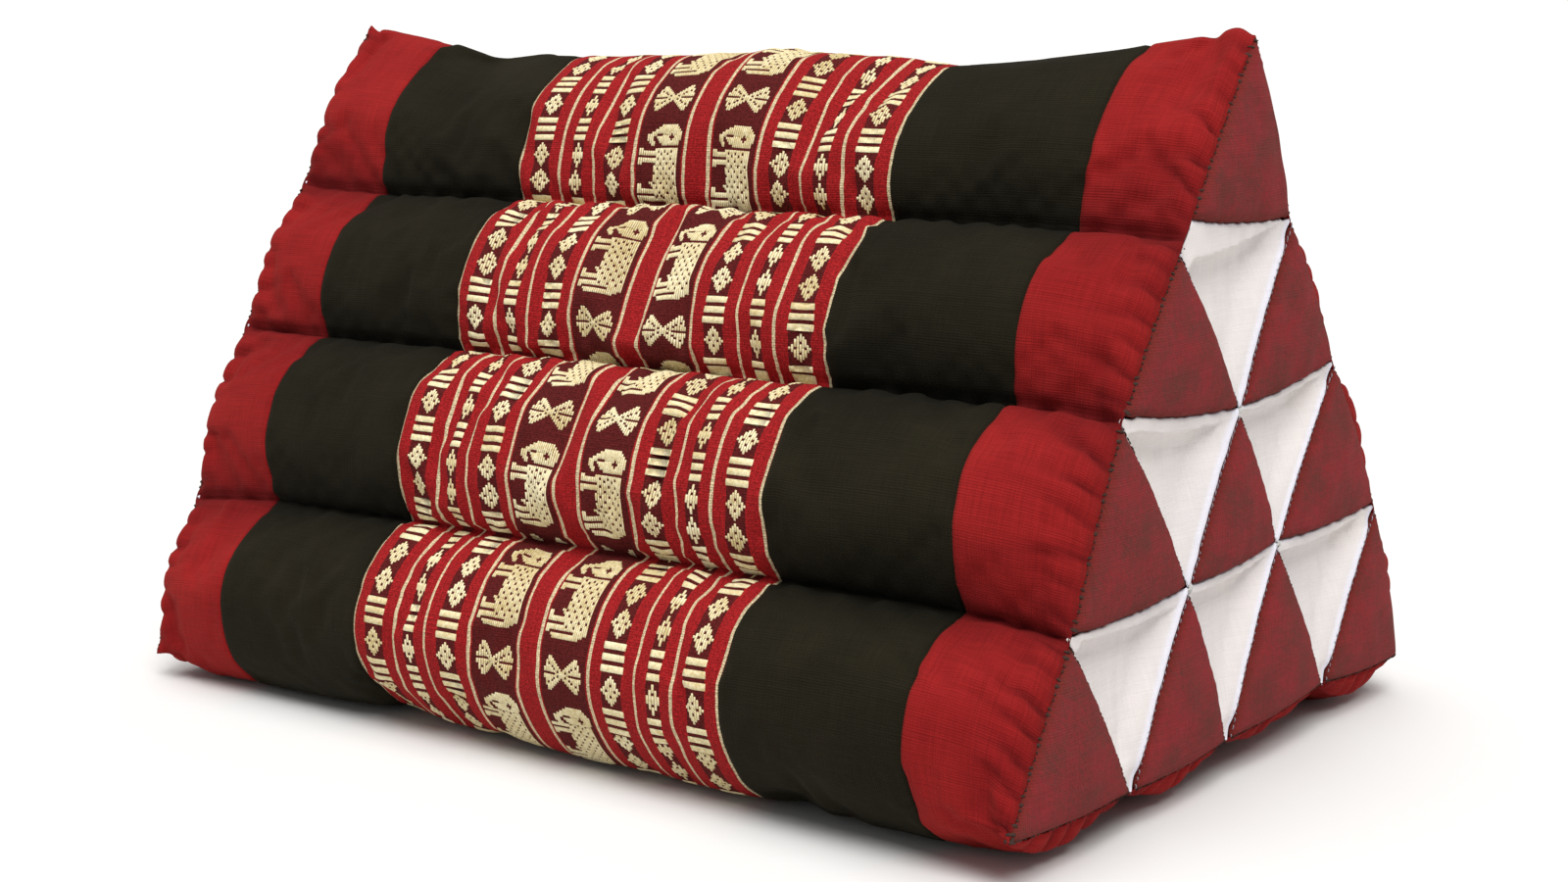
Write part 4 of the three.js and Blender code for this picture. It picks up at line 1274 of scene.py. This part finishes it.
def thread_cotton(name, dark, light):
    """Twisted cotton thread: matt, with fine light and dark from the twist."""
    material = new_material(name)
    places = add_node(material, "ShaderNodeTexCoord").outputs["Object"]
    noise = add_node(material, "ShaderNodeTexNoise", {"Vector": places, "Scale": 900.0, "Detail": 2.0})
    tone = add_node(material, "ShaderNodeMix", {0: noise.outputs["Fac"], 6: colour(dark), 7: colour(light)},
                    data_type="RGBA").outputs[2]
    raised = add_node(material, "ShaderNodeBump",
                      {"Height": noise.outputs["Fac"], "Strength": 0.5, "Distance": 0.0003})
    shader = add_node(material, "ShaderNodeBsdfPrincipled", {
        "Base Color": tone, "Roughness": 0.8, "Normal": raised.outputs["Normal"], "Specular IOR Level": 0.25})
    add_node(material, "ShaderNodeOutputMaterial", {"Surface": shader.outputs["BSDF"]})
    return material


def even_line(line, count):
    """Even places along a line of points, with the unit way along it there."""
    length = np.concatenate([[0], np.cumsum(np.linalg.norm(np.diff(line, axis=0), axis=1))])
    want = (np.arange(count) + 0.5) * length[-1] / count
    way = at_measure(line, length, want + WAY_REACH) - at_measure(line, length, want - WAY_REACH)
    return at_measure(line, length, want), unit(way)


def end_point(flat, end, out):
    """Section points y, z set out from the end seam by out, as points in space."""
    return np.column_stack([np.broadcast_to(end + math.copysign(1, end) * out, len(flat)), flat])


dark_stitches, grey_stitches, knots = [], [], []
chance = np.random.default_rng(500)
for end_name, end in ENDS.items():
    side = math.copysign(1, end)
    facing = np.array([side, 0.0, 0.0])
    for index in range(len(ROLLS)):
        line = roll_section(index, np.array([end]), np.linspace(0, 1, LINE_POINTS))[0]
        points, way = even_line(line, KNOTS_PER_ROLL * CAP_STITCHES_PER_KNOT)
        share = (np.arange(len(points)) + 0.5) / len(points)
        gaps = [corner_gap(end_name, OUTLINE[(index + step) % len(OUTLINE)]) / TUBE_SIDE for step in (0, 1)]
        kept = (share > gaps[0]) & (share < 1 - gaps[1])
        points = points + way * chance.uniform(-OVERCAST_SCATTER, OVERCAST_SCATTER, (len(points), 1))
        outwards = np.column_stack([way[:, 1], -way[:, 0]])
        big = (np.arange(len(points)) % CAP_STITCHES_PER_KNOT == CAP_STITCHES_PER_KNOT // 2)[:, None]
        if end > 0 and TUCK_CORNER in (index, index + 1):
            big = big | (np.abs(share - (index < TUCK_CORNER)) < TUCK_SHARE)[:, None]
        slant = chance.uniform(*OVERCAST_SLANT, (len(points), 1))
        sizes = {key: np.where(big, knot, plain) for key, (plain, knot) in OVERCAST.items()}
        starts = end_point(points - outwards * sizes["in"] + way * slant, end, OVERCAST_HEIGHT)
        stops = end_point(points + outwards * sizes["out"] - way * slant, end, -sizes["back"][:, 0])
        bulge = np.column_stack([np.full(len(points), side), outwards]) / math.sqrt(2)
        dark_stitches.append(stitch_points(starts, stops, bulge, sizes["rise"][:, 0],
                                           sizes["radius"][:, 0])[kept])
    for row in range(1, TUBE_ROWS):
        for column in range(row):
            corners, sides = gusset_sides(end_name, row, column)
            for k, gusset_side in enumerate(sides):
                if k == 1:
                    continue
                is_hem = k == (0 if end > 0 else 2)
                line = gusset_side(np.linspace(*SEWN_PART, LINE_POINTS))
                pitch = HEM_STITCH_PITCH if is_hem else DARK_STITCH_PITCH
                points, way = even_line(line, int(TUBE_SIDE / pitch))
                points = points + way * chance.uniform(-GUSSET_SCATTER, GUSSET_SCATTER, (len(points), 1))
                inwards = np.column_stack([-way[:, 1], way[:, 0]])
                slant = way * chance.uniform(*GUSSET_SLANT, (len(points), 1))
                facings = np.broadcast_to(facing, (len(points), 3))
                if is_hem:
                    reach = chance.uniform(*HEM_REACH, (len(points), 1))
                    starts = end_point(points + inwards * reach + slant, end, HEM_HEIGHTS[0])
                    stops = end_point(points - inwards * HEM_PAST - slant, end, HEM_HEIGHTS[1])
                    grey_stitches.append(stitch_points(starts, stops, facings, HEM_RISE, HEM_RADIUS))
                else:
                    starts = end_point(points - inwards * DARK_IN - slant, end, DARK_HEIGHTS[0])
                    stops = end_point(points - inwards * DARK_OUT + slant, end, DARK_HEIGHTS[1])
                    dark_stitches.append(stitch_points(starts, stops, facings, DARK_RISE, DARK_RADIUS))
    for row in range(1, TUBE_ROWS):
        for column in range(row + 1):
            if (row, column) in OUTLINE:
                continue
            node = tube_corner(row, column, np.array([end]))
            turns = chance.uniform(0, np.pi, KNOT_THREADS)
            ways = np.column_stack([np.cos(turns), np.sin(turns)])
            spread = chance.uniform(*KNOT_SPREAD, (KNOT_THREADS, 1))
            knots.append(stitch_points(end_point(node - ways * spread, end, KNOT_HEIGHT),
                                       end_point(node + ways * spread, end, KNOT_HEIGHT),
                                       np.broadcast_to(facing, (KNOT_THREADS, 3)), KNOT_RISE, KNOT_RADIUS))
dark_thread = thread_cotton("dark brown cotton thread", "#241713", "#4A342B")
grey_thread = thread_cotton("grey cotton thread", "#77737C", "#A9A6AD")
white_thread = thread_cotton("white cotton thread", "#A7A7A4", "#DAD9D5")
for piece_name, parts, thread, slot in (("stitches_dark", dark_stitches, dark_thread, "cap_cotton"),
                                        ("stitches_grey", grey_stitches, grey_thread, "white_cotton"),
                                        ("knots_white", knots, white_thread, "white_cotton")):
    points = np.concatenate(parts)
    sewing = new_piece(piece_name, points, stitch_faces(len(points)))
    sewing.data.materials.append(thread)
    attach(sewing, "root")
